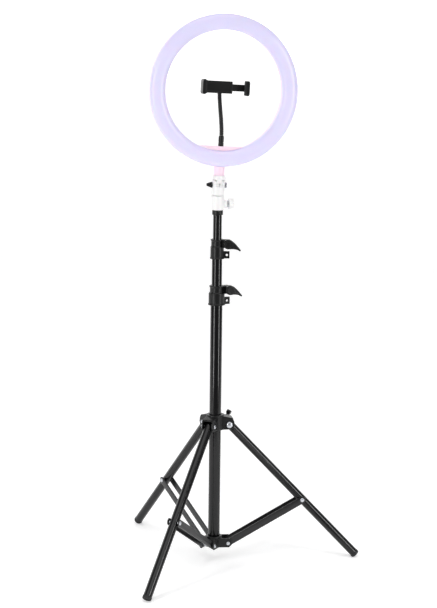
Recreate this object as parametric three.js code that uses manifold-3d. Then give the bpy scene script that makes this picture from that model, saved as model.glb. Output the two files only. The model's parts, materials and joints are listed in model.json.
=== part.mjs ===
// A ring light on a folding stand: three column tubes with lever locks, a linked tripod, a white
// swivel adapter, and a ring lamp that carries a phone clamp on a gooseneck.
// Millimetres, +Z up. The lamp faces -Y, and the origin is the middle of the box that holds the
// whole object, on the floor.

import * as THREE from "three";
import { mergeVertices } from "three/addons/utils/BufferGeometryUtils.js";
import Module from "manifold-3d";

const wasm = await Module();
wasm.setup();

// ---- Driving dimensions ----

const GAP = 0.3; // between faces that meet
const TUBE_SIDES = 18;
const BOLT_SIDES = 10;
const RING_SIDES = 48;
const DEGREE = Math.PI / 180;

// Column tubes, from the widest to the thinnest
const TUBE_WALL = 1;
const COLUMN_OD = 22;
const MIDDLE_OD = 19;
const TOP_OD = 16;
const COLUMN_BOTTOM = 26;
const COLUMN_TOP = 501;
const MIDDLE_LENGTH = 420;
const TOP_LENGTH = 440;
const MIDDLE_SHOWN = 86; // middle tube standing out of the column tube
const TOP_SHOWN = 99; // top tube standing out of the middle tube

// Tripod
const LEG_OD = 16;
const FIRST_LEG_AT = -8.4; // degrees round the column from +X
const LEG_SPREAD = 43.6; // degrees from upright
const LEG_PIVOT_OUT = 26; // from the column axis, at both hubs
const TOP_PIVOT_UP = 262.4;
const BOTTOM_PIVOT_UP = 33.7;
const BRACE_DOWN_LEG = 202.7; // from the leg's top pivot to the braces
const FOOT_RADIUS = 8.4;
const FOOT_CHAMFER = 1;
const FOOT_FLAT = 0.4; // worn off the foot's rim
const FOOT_CAP = 5; // foot below the end of the leg tube
const FOOT_PLUG = 14; // foot inside the leg tube
const BRACE_WIDTH = 13;
const BRACE_THICK = 2;
const BOLT_RADIUS = 2.5;
const RIVET_RADIUS = 2;
const HUB_WALL = 2.5;
const PIVOT_HEAD = 6.2; // radius
const WING_SPAN = 16; // knob axis to the middle of a wing's lobe
const WING_LOBE = 4;
const WING_THICK = 6.5;

// Section locks
const LOCK_HEIGHT = 36;
const LOCK_STEP = 22; // height of the wide sleeve
const LOCK_BELOW_TUBE_END = 13;
const LOWER_SLEEVE_WALL = 3.5;
const UPPER_SLEEVE_WALL = 2.6;
const LOCK_GRIP_WALL = 2.8; // round the thinner tube
const LOCK_EAR_HALF = 7;
const LEVER_HUB = 9;
const LEVER_THICK = 8;
const LOWER_LOCK_AT = 7; // degrees round the column
const UPPER_LOCK_AT = -13;

// Adapter and tilting head
const ADAPTER_RADIUS = 12;
const ADAPTER_DEPTH = 22; // tube inside the socket
const ADAPTER_HEIGHT = 26;
const HEAD_LEAN = 2.6; // degrees, towards +X
const TILT_AXIS_UP = 19.5; // above the adapter socket
const TILT_EAR_RADIUS = 9.5;
const TONGUE_HALF = 4.9;
const TILT_BLOCK_HEIGHT = 7.5;
const KNOB_RADIUS = 10;
const KNOB_THICK = 8.5;
const TILT_KNOB_RADIUS = 5.8;
const TILT_KNOB_TIP = 2.6;
const TILT_KNOB_LENGTH = 9.5;
const TILT_KNOB_BORE = 3.8; // bolt inside the tilt knob
const CLAMP_SCREW = 3; // radius of both clamp screws

// Ring lamp
const RING_OD = 275;
const RING_ID = 217;
const NECK_LENGTH = 16.5; // tilt block to the ring's outer edge
const RING_FORWARD = 2;
const SHELL_DEPTH = 14;
const DIFFUSER_DEPTH = 15;
const SHELL_WALL = 2;
const NECK_RADIUS = 10;
const PAD_RISE = 8; // base block above the ring's inner edge
const PAD_DEPTH = 17;

// Phone clamp
const HOSE_RADIUS = 3.8;
const FITTING_RADIUS = 4.9;
const FITTING_LENGTH = 19;
const CLAMP_ABOVE_CENTRE = 6;
const CLAMP_BACK = 2.5; // back of the clamp housing, in front of the column axis
const BALL_RADIUS = 6;
const CLAMP_OPENING = 71;
const CLAMP_THICK = 7;
const JAW_THICK = 5.5;
const JAW_HEIGHT = 27;
const JAW_REACH = 12.5;
const PAD_THICK = 2.2;

// ---- Materials ----

function finish(color, roughness, metalness = 0) {
  return new THREE.MeshStandardMaterial({ color, roughness, metalness });
}

const blackPaint = () => finish(0x131315, 0.25, 0.1);
const blackPlastic = () => finish(0x18181a, 0.5);
const brightSteel = () => finish(0xd6d7da, 0.3, 0.9);
const whitePlastic = () => finish(0xf4f3f2, 0.35);
const pinkPlastic = () => finish(0xf7dcea, 0.35);
const milkyPlastic = () => finish(0xe7e3fb, 0.4);

// ---- Shapes ----

// A closed geometry as a solid that can be joined and cut.
function solid(geometry) {
  const loose = geometry.index ? geometry.toNonIndexed() : geometry;
  const bare = new THREE.BufferGeometry();
  bare.setAttribute("position", loose.getAttribute("position"));
  const merged = mergeVertices(bare, 1e-4);
  return new wasm.Manifold(
    new wasm.Mesh({
      numProp: 3,
      vertProperties: merged.attributes.position.array,
      triVerts: new Uint32Array(merged.index.array),
    }),
  );
}

function geometryOf(made) {
  const { vertProperties, triVerts } = made.getMesh();
  const geometry = new THREE.BufferGeometry();
  geometry.setAttribute("position", new THREE.BufferAttribute(vertProperties, 3));
  geometry.setIndex(new THREE.BufferAttribute(triVerts, 1));
  const faceted = geometry.toNonIndexed();
  faceted.computeVertexNormals();
  return faceted;
}

// A round bar or cone between two points.
function rod(radius, from, to, sides = TUBE_SIDES, endRadius = radius) {
  const start = new THREE.Vector3(...from);
  const along = new THREE.Vector3(...to).sub(start);
  const geometry = new THREE.CylinderGeometry(endRadius, radius, along.length(), sides);
  geometry.translate(0, along.length() / 2, 0);
  const upright = new THREE.Vector3(0, 1, 0);
  const turn = new THREE.Quaternion().setFromUnitVectors(upright, along.normalize());
  geometry.applyQuaternion(turn);
  geometry.translate(start.x, start.y, start.z);
  return solid(geometry);
}

function block(low, high) {
  const [x, y, z] = high.map((value, i) => value - low[i]);
  const geometry = new THREE.BoxGeometry(x, y, z);
  geometry.translate(low[0] + x / 2, low[1] + y / 2, low[2] + z / 2);
  return solid(geometry);
}

function ball(radius, at, sides = 14) {
  const geometry = new THREE.SphereGeometry(radius, sides, sides / 2);
  geometry.translate(...at);
  return solid(geometry);
}

// A profile of [radius, height] points turned round the Y axis, or round Z.
function turned(profile, sides, roundZ = true) {
  const points = profile.map(([radius, height]) => new THREE.Vector2(radius, height));
  if (THREE.ShapeUtils.area(points) < 0) points.reverse();
  points.push(points[0].clone());
  const geometry = new THREE.LatheGeometry(points, sides);
  if (roundZ) geometry.rotateX(Math.PI / 2);
  return solid(geometry);
}

// An outline in X and Z as a plate, from one y to another.
function plate(outline, fromY, toY, curveSegments = 6) {
  const thick = toY - fromY;
  const geometry = new THREE.ExtrudeGeometry(outline, {
    depth: thick,
    bevelEnabled: false,
    curveSegments,
  });
  geometry.rotateX(Math.PI / 2);
  geometry.translate(0, toY, 0);
  return solid(geometry);
}

function outlineOf(points) {
  return new THREE.Shape(points.map(([x, z]) => new THREE.Vector2(x, z)));
}

function arc(centreX, centreZ, radius, fromDegrees, toDegrees, steps) {
  return Array.from({ length: steps + 1 }, (_, i) => {
    const angle = (fromDegrees + ((toDegrees - fromDegrees) * i) / steps) * DEGREE;
    return [centreX + radius * Math.cos(angle), centreZ + radius * Math.sin(angle)];
  });
}

function piece(name, made, material) {
  const mesh = new THREE.Mesh(made.isBufferGeometry ? made : geometryOf(made), material);
  mesh.name = name;
  return mesh;
}

function tube(outer, bottom, top, wall = TUBE_WALL, sides = TUBE_SIDES) {
  const outside = rod(outer / 2, [0, 0, bottom], [0, 0, top], sides);
  const bore = rod(outer / 2 - wall, [0, 0, bottom - 1], [0, 0, top + 1], sides);
  return outside.subtract(bore);
}

// ---- Column ----

const middleTop = COLUMN_TOP + MIDDLE_SHOWN;
const middleBottom = middleTop - MIDDLE_LENGTH;
const topTop = middleTop + TOP_SHOWN;
const topBottom = topTop - TOP_LENGTH;
const columnInside = COLUMN_OD / 2 - TUBE_WALL;

const stand = new THREE.Group();

function columnTube() {
  const pin = rod(
    RIVET_RADIUS + GAP,
    [0, -COLUMN_OD, BOTTOM_PIVOT_UP],
    [0, COLUMN_OD, BOTTOM_PIVOT_UP],
    BOLT_SIDES,
  ).rotate([0, 0, FIRST_LEG_AT + 150]);
  return tube(COLUMN_OD, COLUMN_BOTTOM, COLUMN_TOP).subtract(pin);
}

function columnEndPlug() {
  const cap = rod(COLUMN_OD / 2, [0, 0, COLUMN_BOTTOM - 3], [0, 0, COLUMN_BOTTOM - GAP], TUBE_SIDES);
  const spigot = rod(
    columnInside - GAP,
    [0, 0, COLUMN_BOTTOM - 1],
    [0, 0, BOTTOM_PIVOT_UP - RIVET_RADIUS - 1],
    TUBE_SIDES,
  );
  return cap.add(spigot);
}

// A plastic sleeve pressed over an inner tube's lower end, running inside the next tube out.
function tubeBush(innerOd, outerOd, bottom) {
  const outside = outerOd / 2 - TUBE_WALL - GAP / 2;
  const lip = rod(outside, [0, 0, bottom - 4], [0, 0, bottom - GAP], TUBE_SIDES);
  const spigot = rod(
    innerOd / 2 - TUBE_WALL - GAP,
    [0, 0, bottom - 2],
    [0, 0, bottom + 12],
    TUBE_SIDES,
  );
  const bore = rod(
    innerOd / 2 - 2 * TUBE_WALL - GAP,
    [0, 0, bottom - 5],
    [0, 0, bottom + 13],
    TUBE_SIDES,
  );
  return lip.add(spigot).subtract(bore);
}

stand.add(
  piece("column_tube", columnTube(), blackPaint()),
  piece("column_end_plug", columnEndPlug(), blackPlastic()),
  piece("middle_tube", tube(MIDDLE_OD, middleBottom, middleTop), blackPaint()),
  piece("middle_tube_bush", tubeBush(MIDDLE_OD, COLUMN_OD, middleBottom), blackPlastic()),
  piece("top_tube", tube(TOP_OD, topBottom, topTop), blackPaint()),
  piece("top_tube_bush", tubeBush(TOP_OD, MIDDLE_OD, topBottom), blackPlastic()),
);

// ---- Section locks ----
// Each lock is built on its own axis with its bottom at z = 0 and its lever on the +X side.

const leverUp = LOCK_HEIGHT - LEVER_HUB + 1;

function lockSizes(outerOd, innerOd, sleeveWall) {
  const sleeve = outerOd / 2 + GAP + sleeveWall;
  const grip = innerOd / 2 + GAP + LOCK_GRIP_WALL;
  return {
    sleeve,
    grip,
    socket: outerOd / 2 + GAP,
    bore: innerOd / 2 + GAP,
    boltOut: grip + LEVER_HUB + 0.4,
    tabEnd: sleeve + 10.5,
  };
}

function lockCollar({ sleeve, grip, socket, bore, boltOut, tabEnd }) {
  const lip = 1.2;
  const body = turned(
    [
      [bore, LOCK_HEIGHT],
      [grip + lip, LOCK_HEIGHT],
      [grip + lip, LOCK_HEIGHT - 2],
      [grip, LOCK_HEIGHT - 2 - lip],
      [grip, LOCK_STEP + 2],
      [sleeve, LOCK_STEP],
      [sleeve, 3],
      [sleeve + lip, 2],
      [sleeve + lip, 0],
      [socket, 0],
      [socket, LOCK_BELOW_TUBE_END + GAP],
      [bore, LOCK_BELOW_TUBE_END + GAP],
    ],
    TUBE_SIDES,
  );
  const earRadius = LEVER_HUB - 1.5;
  const earRoot = block(
    [bore + 1, -LOCK_EAR_HALF, leverUp - earRadius],
    [boltOut, LOCK_EAR_HALF, leverUp + earRadius],
  );
  const earEnd = rod(
    earRadius,
    [boltOut, -LOCK_EAR_HALF, leverUp],
    [boltOut, LOCK_EAR_HALF, leverUp],
    BOLT_SIDES,
  );
  const tabHalf = 2.2;
  const tabTop = 14;
  const tab = block([socket + 1, -tabHalf, 0.5], [tabEnd, tabHalf, tabTop]);
  const tabHole = rod(2.2, [tabEnd - 5, -8, tabTop / 2], [tabEnd - 5, 8, tabTop / 2], BOLT_SIDES);
  const boltHole = rod(
    CLAMP_SCREW + GAP,
    [boltOut, -2 * LOCK_EAR_HALF, leverUp],
    [boltOut, 2 * LOCK_EAR_HALF, leverUp],
    BOLT_SIDES,
  );
  const split = block([bore / 2, -1, LOCK_STEP - 0.5], [boltOut + 20, 1, LOCK_HEIGHT + 1]);
  const clearance = rod(bore, [0, 0, LOCK_BELOW_TUBE_END + 1], [0, 0, LOCK_HEIGHT + 1], TUBE_SIDES);
  return body
    .add(earRoot)
    .add(earEnd)
    .subtract(clearance)
    .add(tab)
    .subtract(rod(socket, [0, 0, -1], [0, 0, LOCK_BELOW_TUBE_END + GAP], TUBE_SIDES))
    .subtract(tabHole)
    .subtract(boltHole)
    .subtract(split);
}

// Seen from the front: a round hub with a claw that reaches out and droops.
function lockLever({ boltOut }) {
  const outline = new THREE.Shape();
  outline.moveTo(0, LEVER_HUB);
  outline.lineTo(3, LEVER_HUB - 0.6);
  outline.quadraticCurveTo(11.5, LEVER_HUB - 4.5, 23, -11);
  outline.quadraticCurveTo(22.4, -13, 20.2, -12);
  outline.quadraticCurveTo(16, -8.4, 6, -LEVER_HUB + 0.6);
  outline.lineTo(0, -LEVER_HUB);
  outline.absarc(0, 0, LEVER_HUB, -Math.PI / 2, -1.5 * Math.PI, true);
  const near = -LOCK_EAR_HALF - GAP;
  const far = near - LEVER_THICK;
  const claw = plate(outline, far, near);
  const hub = rod(LEVER_HUB - 2, [0, far - 1.5, 0], [0, near - 1, 0], TUBE_SIDES);
  const hole = rod(CLAMP_SCREW + GAP, [0, near - LEVER_THICK + 1.5, 0], [0, near + 1, 0], BOLT_SIDES);
  return claw.add(hub).subtract(hole).translate([boltOut, 0, leverUp]);
}

function lockBolt({ boltOut }) {
  const headThick = 4;
  const head = rod(
    5.6,
    [boltOut, LOCK_EAR_HALF + GAP, leverUp],
    [boltOut, LOCK_EAR_HALF + GAP + headThick, leverUp],
    6,
  );
  const shank = rod(
    CLAMP_SCREW,
    [boltOut, -LOCK_EAR_HALF - LEVER_THICK + 2, leverUp],
    [boltOut, LOCK_EAR_HALF + 1, leverUp],
    BOLT_SIDES,
  );
  return head.add(shank);
}

function sectionLock(name, sizes, tubeEnd, at) {
  const lock = new THREE.Group();
  lock.add(
    piece(name + "_lock_collar", lockCollar(sizes), blackPlastic()),
    piece(name + "_lock_lever", lockLever(sizes), blackPlastic()),
    piece(name + "_lock_bolt", lockBolt(sizes), brightSteel()),
  );
  lock.position.z = tubeEnd - LOCK_BELOW_TUBE_END;
  lock.rotation.z = at * DEGREE;
  return lock;
}

const lowerLock = lockSizes(COLUMN_OD, MIDDLE_OD, LOWER_SLEEVE_WALL);
const upperLock = lockSizes(MIDDLE_OD, TOP_OD, UPPER_SLEEVE_WALL);
stand.add(
  sectionLock("lower", lowerLock, COLUMN_TOP, LOWER_LOCK_AT),
  sectionLock("upper", upperLock, middleTop, UPPER_LOCK_AT),
);

// ---- Tripod ----
// Each leg's pieces are built in a group whose +X runs outwards along that leg.

const braceSpace = LEG_OD / 2 + 1.5; // half the space between a pair of braces
const braceOut = braceSpace + BRACE_THICK;
const topChannel = LEG_OD / 2 + 0.8; // half the inside width of a top hub arm
const bottomChannel = braceOut + 0.4;
const footCentreUp =
  (FOOT_RADIUS - FOOT_CHAMFER) * Math.sin(LEG_SPREAD * DEGREE) - FOOT_FLAT;
const legLength = (TOP_PIVOT_UP - footCentreUp) / Math.cos(LEG_SPREAD * DEGREE);
const braceRiseOut = BRACE_DOWN_LEG * Math.sin(LEG_SPREAD * DEGREE);
const braceRiseUp =
  TOP_PIVOT_UP - BRACE_DOWN_LEG * Math.cos(LEG_SPREAD * DEGREE) - BOTTOM_PIVOT_UP;
const braceLength = Math.hypot(braceRiseOut, braceRiseUp);
const braceSpread = Math.atan2(braceRiseOut, braceRiseUp) / DEGREE;
const hubTravel = BOTTOM_PIVOT_UP + braceLength + BRACE_DOWN_LEG - TOP_PIVOT_UP;
const knobUp = TOP_PIVOT_UP - 1.4;
const hubSleeve = COLUMN_OD / 2 + 0.4;
const hubOutside = LEG_PIVOT_OUT - LEG_OD / 2 - 1.8;
const legAngles = [0, 1, 2].map((i) => FIRST_LEG_AT + 120 * i);
const legNames = ["right", "back", "front"];

function topHub() {
  const armOutline = outlineOf([
    [hubSleeve + 1.5, TOP_PIVOT_UP - 9.5],
    [LEG_PIVOT_OUT + 2, TOP_PIVOT_UP - 9],
    [LEG_PIVOT_OUT + 7.5, TOP_PIVOT_UP - 7],
    [LEG_PIVOT_OUT + 10, TOP_PIVOT_UP],
    [LEG_PIVOT_OUT + 9, TOP_PIVOT_UP + 7],
    [LEG_PIVOT_OUT + 5, TOP_PIVOT_UP + 13],
    [hubSleeve + 1.5, TOP_PIVOT_UP + 17],
  ]);
  const hollow = outlineOf([
    [hubOutside - 2, TOP_PIVOT_UP - 30],
    [LEG_PIVOT_OUT + 30, TOP_PIVOT_UP - 30],
    [LEG_PIVOT_OUT + 30, TOP_PIVOT_UP + 9.2],
    [hubOutside - 2, TOP_PIVOT_UP + 11.5],
  ]);
  const half = topChannel + HUB_WALL;
  const sleeveBottom = knobUp - 9;
  const sleeveTop = TOP_PIVOT_UP + 18.5;
  let arms = rod(hubOutside, [0, 0, sleeveBottom], [0, 0, sleeveTop], TUBE_SIDES);
  let hollows = rod(hubSleeve, [0, 0, sleeveBottom - 1], [0, 0, sleeveTop + 1], TUBE_SIDES);
  for (const angle of legAngles) {
    const turn = [0, 0, angle];
    const bolt = rod(
      BOLT_RADIUS + GAP,
      [LEG_PIVOT_OUT, -half - 1, TOP_PIVOT_UP],
      [LEG_PIVOT_OUT, half + 1, TOP_PIVOT_UP],
      BOLT_SIDES,
    );
    arms = arms.add(plate(armOutline, -half, half).rotate(turn));
    hollows = hollows
      .add(plate(hollow, -topChannel, topChannel).rotate(turn))
      .add(bolt.rotate(turn));
  }
  const knobTurn = [0, 0, FIRST_LEG_AT + 60];
  const boss = rod(7, [hubSleeve + 1, 0, knobUp], [hubOutside + 12, 0, knobUp], BOLT_SIDES);
  const bossHole = rod(CLAMP_SCREW + GAP, [0, 0, knobUp], [hubOutside + 13, 0, knobUp], BOLT_SIDES);
  const core = rod(hubOutside, [0, 0, sleeveBottom], [0, 0, sleeveTop], TUBE_SIDES).subtract(
    rod(hubSleeve, [0, 0, sleeveBottom - 1], [0, 0, sleeveTop + 1], TUBE_SIDES),
  );
  return arms
    .add(boss.rotate(knobTurn))
    .subtract(hollows)
    .add(core)
    .subtract(bossHole.rotate(knobTurn));
}

const wingKnobOut = hubOutside + 12 + 8;

// A butterfly knob: a round boss with two wings that end in round lobes.
function wingKnob() {
  const span = WING_SPAN;
  const lobe = WING_LOBE;
  const thick = WING_THICK;
  const near = wingKnobOut;
  const boss = rod(6.5, [near, 0, 0], [near + 15, 0, 0], BOLT_SIDES, 5.2);
  let knob = boss;
  for (const side of [1, -1]) {
    const wing = outlineOf([
      [near + 3, 0],
      [near + 14, 0],
      [near + 15, side * span],
      [near + 8, side * span],
    ]);
    knob = knob
      .add(plate(wing, -thick / 2, thick / 2))
      .add(
        rod(
          lobe,
          [near + 11, -thick / 2, side * span],
          [near + 11, thick / 2, side * span],
          BOLT_SIDES,
        ),
      );
  }
  const hole = rod(CLAMP_SCREW + GAP, [near - 1, 0, 0], [near + 9, 0, 0], BOLT_SIDES);
  return knob.subtract(hole);
}

function wingScrew() {
  return rod(CLAMP_SCREW, [COLUMN_OD / 2 + GAP, 0, 0], [wingKnobOut + 8.6, 0, 0], BOLT_SIDES);
}

const wingGroup = new THREE.Group();
wingGroup.rotation.set(22 * DEGREE, 0, (FIRST_LEG_AT + 60) * DEGREE, "ZYX");
wingGroup.position.z = knobUp;
wingGroup.add(
  piece("hub_wing_knob", wingKnob(), blackPlastic()),
  piece("hub_knob_screw", wingScrew(), brightSteel()),
);

function bottomHub() {
  const low = BOTTOM_PIVOT_UP - 8;
  const high = BOTTOM_PIVOT_UP + 9.5;
  const outside = COLUMN_OD / 2 + 4;
  const half = bottomChannel + HUB_WALL;
  const armOutline = outlineOf([
    [8, low],
    [LEG_PIVOT_OUT + 2, low],
    [LEG_PIVOT_OUT + 7, low + 5],
    [LEG_PIVOT_OUT + 7, high - 5],
    [LEG_PIVOT_OUT + 3, high],
    [8, high],
  ]);
  const hollow = outlineOf([
    [outside - 1, low - 3],
    [LEG_PIVOT_OUT + 30, low - 3],
    [LEG_PIVOT_OUT + 30, high + 20],
    [outside - 1, high + 20],
  ]);
  let arms = rod(outside, [0, 0, low], [0, 0, high + 3], TUBE_SIDES);
  let hollows = rod(COLUMN_OD / 2 + GAP, [0, 0, low - 1], [0, 0, high + 4], TUBE_SIDES);
  for (const angle of legAngles) {
    const turn = [0, 0, angle];
    const rivet = rod(
      RIVET_RADIUS + GAP,
      [LEG_PIVOT_OUT, -half - 1, BOTTOM_PIVOT_UP],
      [LEG_PIVOT_OUT, half + 1, BOTTOM_PIVOT_UP],
      BOLT_SIDES,
    );
    arms = arms.add(plate(armOutline, -half, half).rotate(turn));
    hollows = hollows
      .add(plate(hollow, -bottomChannel, bottomChannel).rotate(turn))
      .add(rivet.rotate(turn));
  }
  const core = rod(outside, [0, 0, low], [0, 0, high + 3], TUBE_SIDES).subtract(
    rod(COLUMN_OD / 2 + GAP, [0, 0, low - 1], [0, 0, high + 4], TUBE_SIDES),
  );
  const pin = rod(
    RIVET_RADIUS + GAP,
    [0, -60, BOTTOM_PIVOT_UP],
    [0, 60, BOTTOM_PIVOT_UP],
    BOLT_SIDES,
  ).rotate([0, 0, FIRST_LEG_AT + 150]);
  return arms.subtract(hollows).add(core).subtract(pin);
}

// Fixes the bottom hub to the column tube, right through both.
function bottomHubPin() {
  const reach = COLUMN_OD / 2 + 5;
  const shank = rod(RIVET_RADIUS, [0, -reach, 0], [0, reach, 0], BOLT_SIDES);
  return shank.rotate([0, 0, FIRST_LEG_AT + 150]).translate([0, 0, BOTTOM_PIVOT_UP]);
}

// The leg hangs down -Z from its pivot at the origin, before its group is spread.
function legTube() {
  const radius = LEG_OD / 2;
  const end = GAP - (legLength - FOOT_CAP);
  const bar = rod(radius, [0, 0, end], [0, 0, radius], TUBE_SIDES);
  const bore = rod(radius - TUBE_WALL, [0, 0, end - 1], [0, 0, radius + 1], TUBE_SIDES);
  const lower = block([-radius - 1, -radius - 1, end - 2], [radius + 1, radius + 1, 0]);
  const rounded = rod(radius, [0, -radius - 1, 0], [0, radius + 1, 0], TUBE_SIDES);
  const pivot = rod(BOLT_RADIUS + GAP, [0, -radius - 1, 0], [0, radius + 1, 0], BOLT_SIDES);
  const rivet = rod(
    3 + GAP,
    [0, -radius - 1, -BRACE_DOWN_LEG],
    [0, radius + 1, -BRACE_DOWN_LEG],
    BOLT_SIDES,
  );
  return bar.intersect(lower.add(rounded)).subtract(bore).subtract(pivot).subtract(rivet);
}

// A blunt rubber plug, worn flat where its rim stands on the floor.
function foot() {
  const top = -(legLength - FOOT_CAP);
  const plug = LEG_OD / 2 - TUBE_WALL - GAP;
  const outside = rod(FOOT_RADIUS, [0, 0, FOOT_CHAMFER - legLength], [0, 0, top])
    .add(
      rod(
        FOOT_RADIUS - FOOT_CHAMFER,
        [0, 0, -legLength],
        [0, 0, FOOT_CHAMFER - legLength],
        TUBE_SIDES,
        FOOT_RADIUS,
      ),
    )
    .add(rod(plug, [0, 0, top - 1], [0, 0, top + FOOT_PLUG]));
  const footOut = legLength * Math.sin(LEG_SPREAD * DEGREE);
  const floor = block(
    [footOut - 20, -20, -TOP_PIVOT_UP - 20],
    [footOut + 20, 20, -TOP_PIVOT_UP],
  );
  return outside.subtract(floor.rotate([0, LEG_SPREAD, 0]));
}

function legRivet() {
  const reach = braceSpace - GAP;
  return rod(3, [0, -reach, -BRACE_DOWN_LEG], [0, reach, -BRACE_DOWN_LEG], BOLT_SIDES);
}

// A domed head on the -Y side and a small riveted tail on the other.
function pivotBolt() {
  const reach = topChannel + HUB_WALL + GAP;
  const shank = rod(BOLT_RADIUS, [0, -reach - 1, 0], [0, reach + 1, 0], BOLT_SIDES);
  const head = rod(PIVOT_HEAD, [0, -reach, 0], [0, -reach - 1.5, 0], BOLT_SIDES).add(
    rod(PIVOT_HEAD, [0, -reach - 1.5, 0], [0, -reach - 3.5, 0], BOLT_SIDES, PIVOT_HEAD / 2),
  );
  const tail = rod(3.6, [0, reach, 0], [0, reach + 2.2, 0], BOLT_SIDES, 2.6);
  return shank.add(head).add(tail);
}

// A flat strip rising from its hub pivot to the leg, with a rivet head at its outer end.
function brace(side) {
  const half = BRACE_WIDTH / 2;
  const outline = outlineOf([
    ...arc(0, braceLength, half, 0, 180, 8),
    ...arc(0, 0, half, 180, 360, 8),
  ]);
  const strip = side > 0
    ? plate(outline, braceSpace, braceOut)
    : plate(outline, -braceOut, -braceSpace);
  const outerFace = side * (braceOut - 0.5);
  const head = rod(
    4,
    [0, outerFace, braceLength],
    [0, side * (braceOut + 1.8), braceLength],
    BOLT_SIDES,
    2.6,
  );
  const hole = rod(RIVET_RADIUS + GAP, [0, -braceOut - 1, 0], [0, braceOut + 1, 0], BOLT_SIDES);
  return strip.add(head).subtract(hole);
}

function braceRivet() {
  const reach = bottomChannel + HUB_WALL + GAP;
  const shank = rod(RIVET_RADIUS, [0, -reach - 1, 0], [0, reach + 1, 0], BOLT_SIDES);
  return shank
    .add(rod(3.5, [0, -reach, 0], [0, -reach - 1.8, 0], BOLT_SIDES, 2.4))
    .add(rod(3.5, [0, reach, 0], [0, reach + 1.8, 0], BOLT_SIDES, 2.4));
}

function legGroup(name, angle) {
  const side = new THREE.Group();
  side.rotation.z = angle * DEGREE;
  const leg = new THREE.Group();
  leg.position.set(LEG_PIVOT_OUT, 0, TOP_PIVOT_UP);
  leg.rotation.y = -LEG_SPREAD * DEGREE;
  leg.add(
    piece(name + "_leg_tube", legTube(), blackPaint()),
    piece(name + "_foot", foot(), blackPlastic()),
    piece(name + "_leg_rivet", legRivet(), brightSteel()),
  );
  const bolt = piece(name + "_leg_bolt", pivotBolt(), brightSteel());
  bolt.position.copy(leg.position);
  const braces = new THREE.Group();
  braces.position.set(LEG_PIVOT_OUT, 0, BOTTOM_PIVOT_UP);
  braces.rotation.y = braceSpread * DEGREE;
  braces.add(
    piece(name + "_brace_a", brace(-1), blackPaint()),
    piece(name + "_brace_b", brace(1), blackPaint()),
  );
  const rivet = piece(name + "_brace_rivet", braceRivet(), brightSteel());
  rivet.position.copy(braces.position);
  side.add(leg, bolt, braces, rivet);
  return side;
}

stand.add(
  piece("top_hub", topHub(), blackPlastic()),
  wingGroup,
  piece("bottom_hub", bottomHub(), blackPlastic()),
  piece("bottom_hub_pin", bottomHubPin(), brightSteel()),
  ...legAngles.map((angle, i) => legGroup(legNames[i], angle)),
);

// ---- Adapter ----

const socketBottom = topTop - ADAPTER_DEPTH;
const socketTop = socketBottom + ADAPTER_HEIGHT;
const socketScrewUp = socketBottom + 11;
const knobNear = ADAPTER_RADIUS + 8.5;

function topTubeCollar() {
  const outside = TOP_OD / 2 + GAP + 1.7;
  const low = socketBottom - 9;
  return tube(2 * outside, low, socketBottom - GAP, 1.7);
}

function adapterSocket() {
  const outside = rod(ADAPTER_RADIUS, [0, 0, socketBottom + 1], [0, 0, socketTop], TUBE_SIDES).add(
    rod(ADAPTER_RADIUS - 1, [0, 0, socketBottom], [0, 0, socketBottom + 1], TUBE_SIDES, ADAPTER_RADIUS),
  );
  const boss = rod(7.5, [0, 0, socketScrewUp], [ADAPTER_RADIUS + 4.5, 0, socketScrewUp], TUBE_SIDES);
  const bore = rod(TOP_OD / 2 + GAP, [0, 0, socketBottom - 1], [0, 0, topTop + GAP], TUBE_SIDES);
  const hole = rod(
    CLAMP_SCREW + GAP,
    [0, 0, socketScrewUp],
    [ADAPTER_RADIUS + 6, 0, socketScrewUp],
    BOLT_SIDES,
  );
  return outside.add(boss).subtract(bore).subtract(hole);
}

function fluted(knob, count, radius, fluteRadius, from, to, centreZ) {
  let made = knob;
  for (let i = 0; i < count; i += 1) {
    const angle = (2 * Math.PI * i) / count;
    const y = radius * Math.cos(angle);
    const z = centreZ + radius * Math.sin(angle);
    made = made.subtract(rod(fluteRadius, [from, y, z], [to, y, z], 6));
  }
  return made;
}

function socketKnob() {
  const z = socketScrewUp;
  const far = knobNear + KNOB_THICK;
  const disc = rod(KNOB_RADIUS, [knobNear, 0, z], [far - 2, 0, z], TUBE_SIDES).add(
    rod(KNOB_RADIUS, [far - 2, 0, z], [far, 0, z], TUBE_SIDES, KNOB_RADIUS - 2),
  );
  const made = fluted(disc, 12, KNOB_RADIUS + 0.9, 1.6, knobNear - 1, far + 1, z);
  return made.subtract(rod(CLAMP_SCREW + GAP, [knobNear - 1, 0, z], [far - 3, 0, z], BOLT_SIDES));
}

function socketScrew() {
  const z = socketScrewUp;
  const shank = rod(
    CLAMP_SCREW,
    [TOP_OD / 2 + GAP, 0, z],
    [knobNear + KNOB_THICK - 3 - GAP, 0, z],
    BOLT_SIDES,
  );
  const washer = rod(6, [ADAPTER_RADIUS + 5.4, 0, z], [knobNear - GAP, 0, z], BOLT_SIDES);
  return shank.add(washer);
}

stand.add(
  piece("top_tube_collar", topTubeCollar(), blackPlastic()),
  piece("adapter_socket", adapterSocket(), whitePlastic()),
  piece("socket_knob", socketKnob(), whitePlastic()),
  piece("socket_screw", socketScrew(), brightSteel()),
);

// ---- Tilting head ----
// Heights from here on are above the adapter socket, along the leaning head.

const head = new THREE.Group();
head.position.z = socketTop;
head.rotation.y = HEAD_LEAN * DEGREE;
stand.add(head);

const earInside = TONGUE_HALF + GAP;
const leanClearance = ADAPTER_RADIUS * Math.sin(HEAD_LEAN * DEGREE) + GAP;
const blockBottom = TILT_AXIS_UP + TILT_EAR_RADIUS + 0.5;
const blockTop = blockBottom + TILT_BLOCK_HEIGHT;
const ringUp = blockTop + NECK_LENGTH + RING_OD / 2; // centre of the ring

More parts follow.
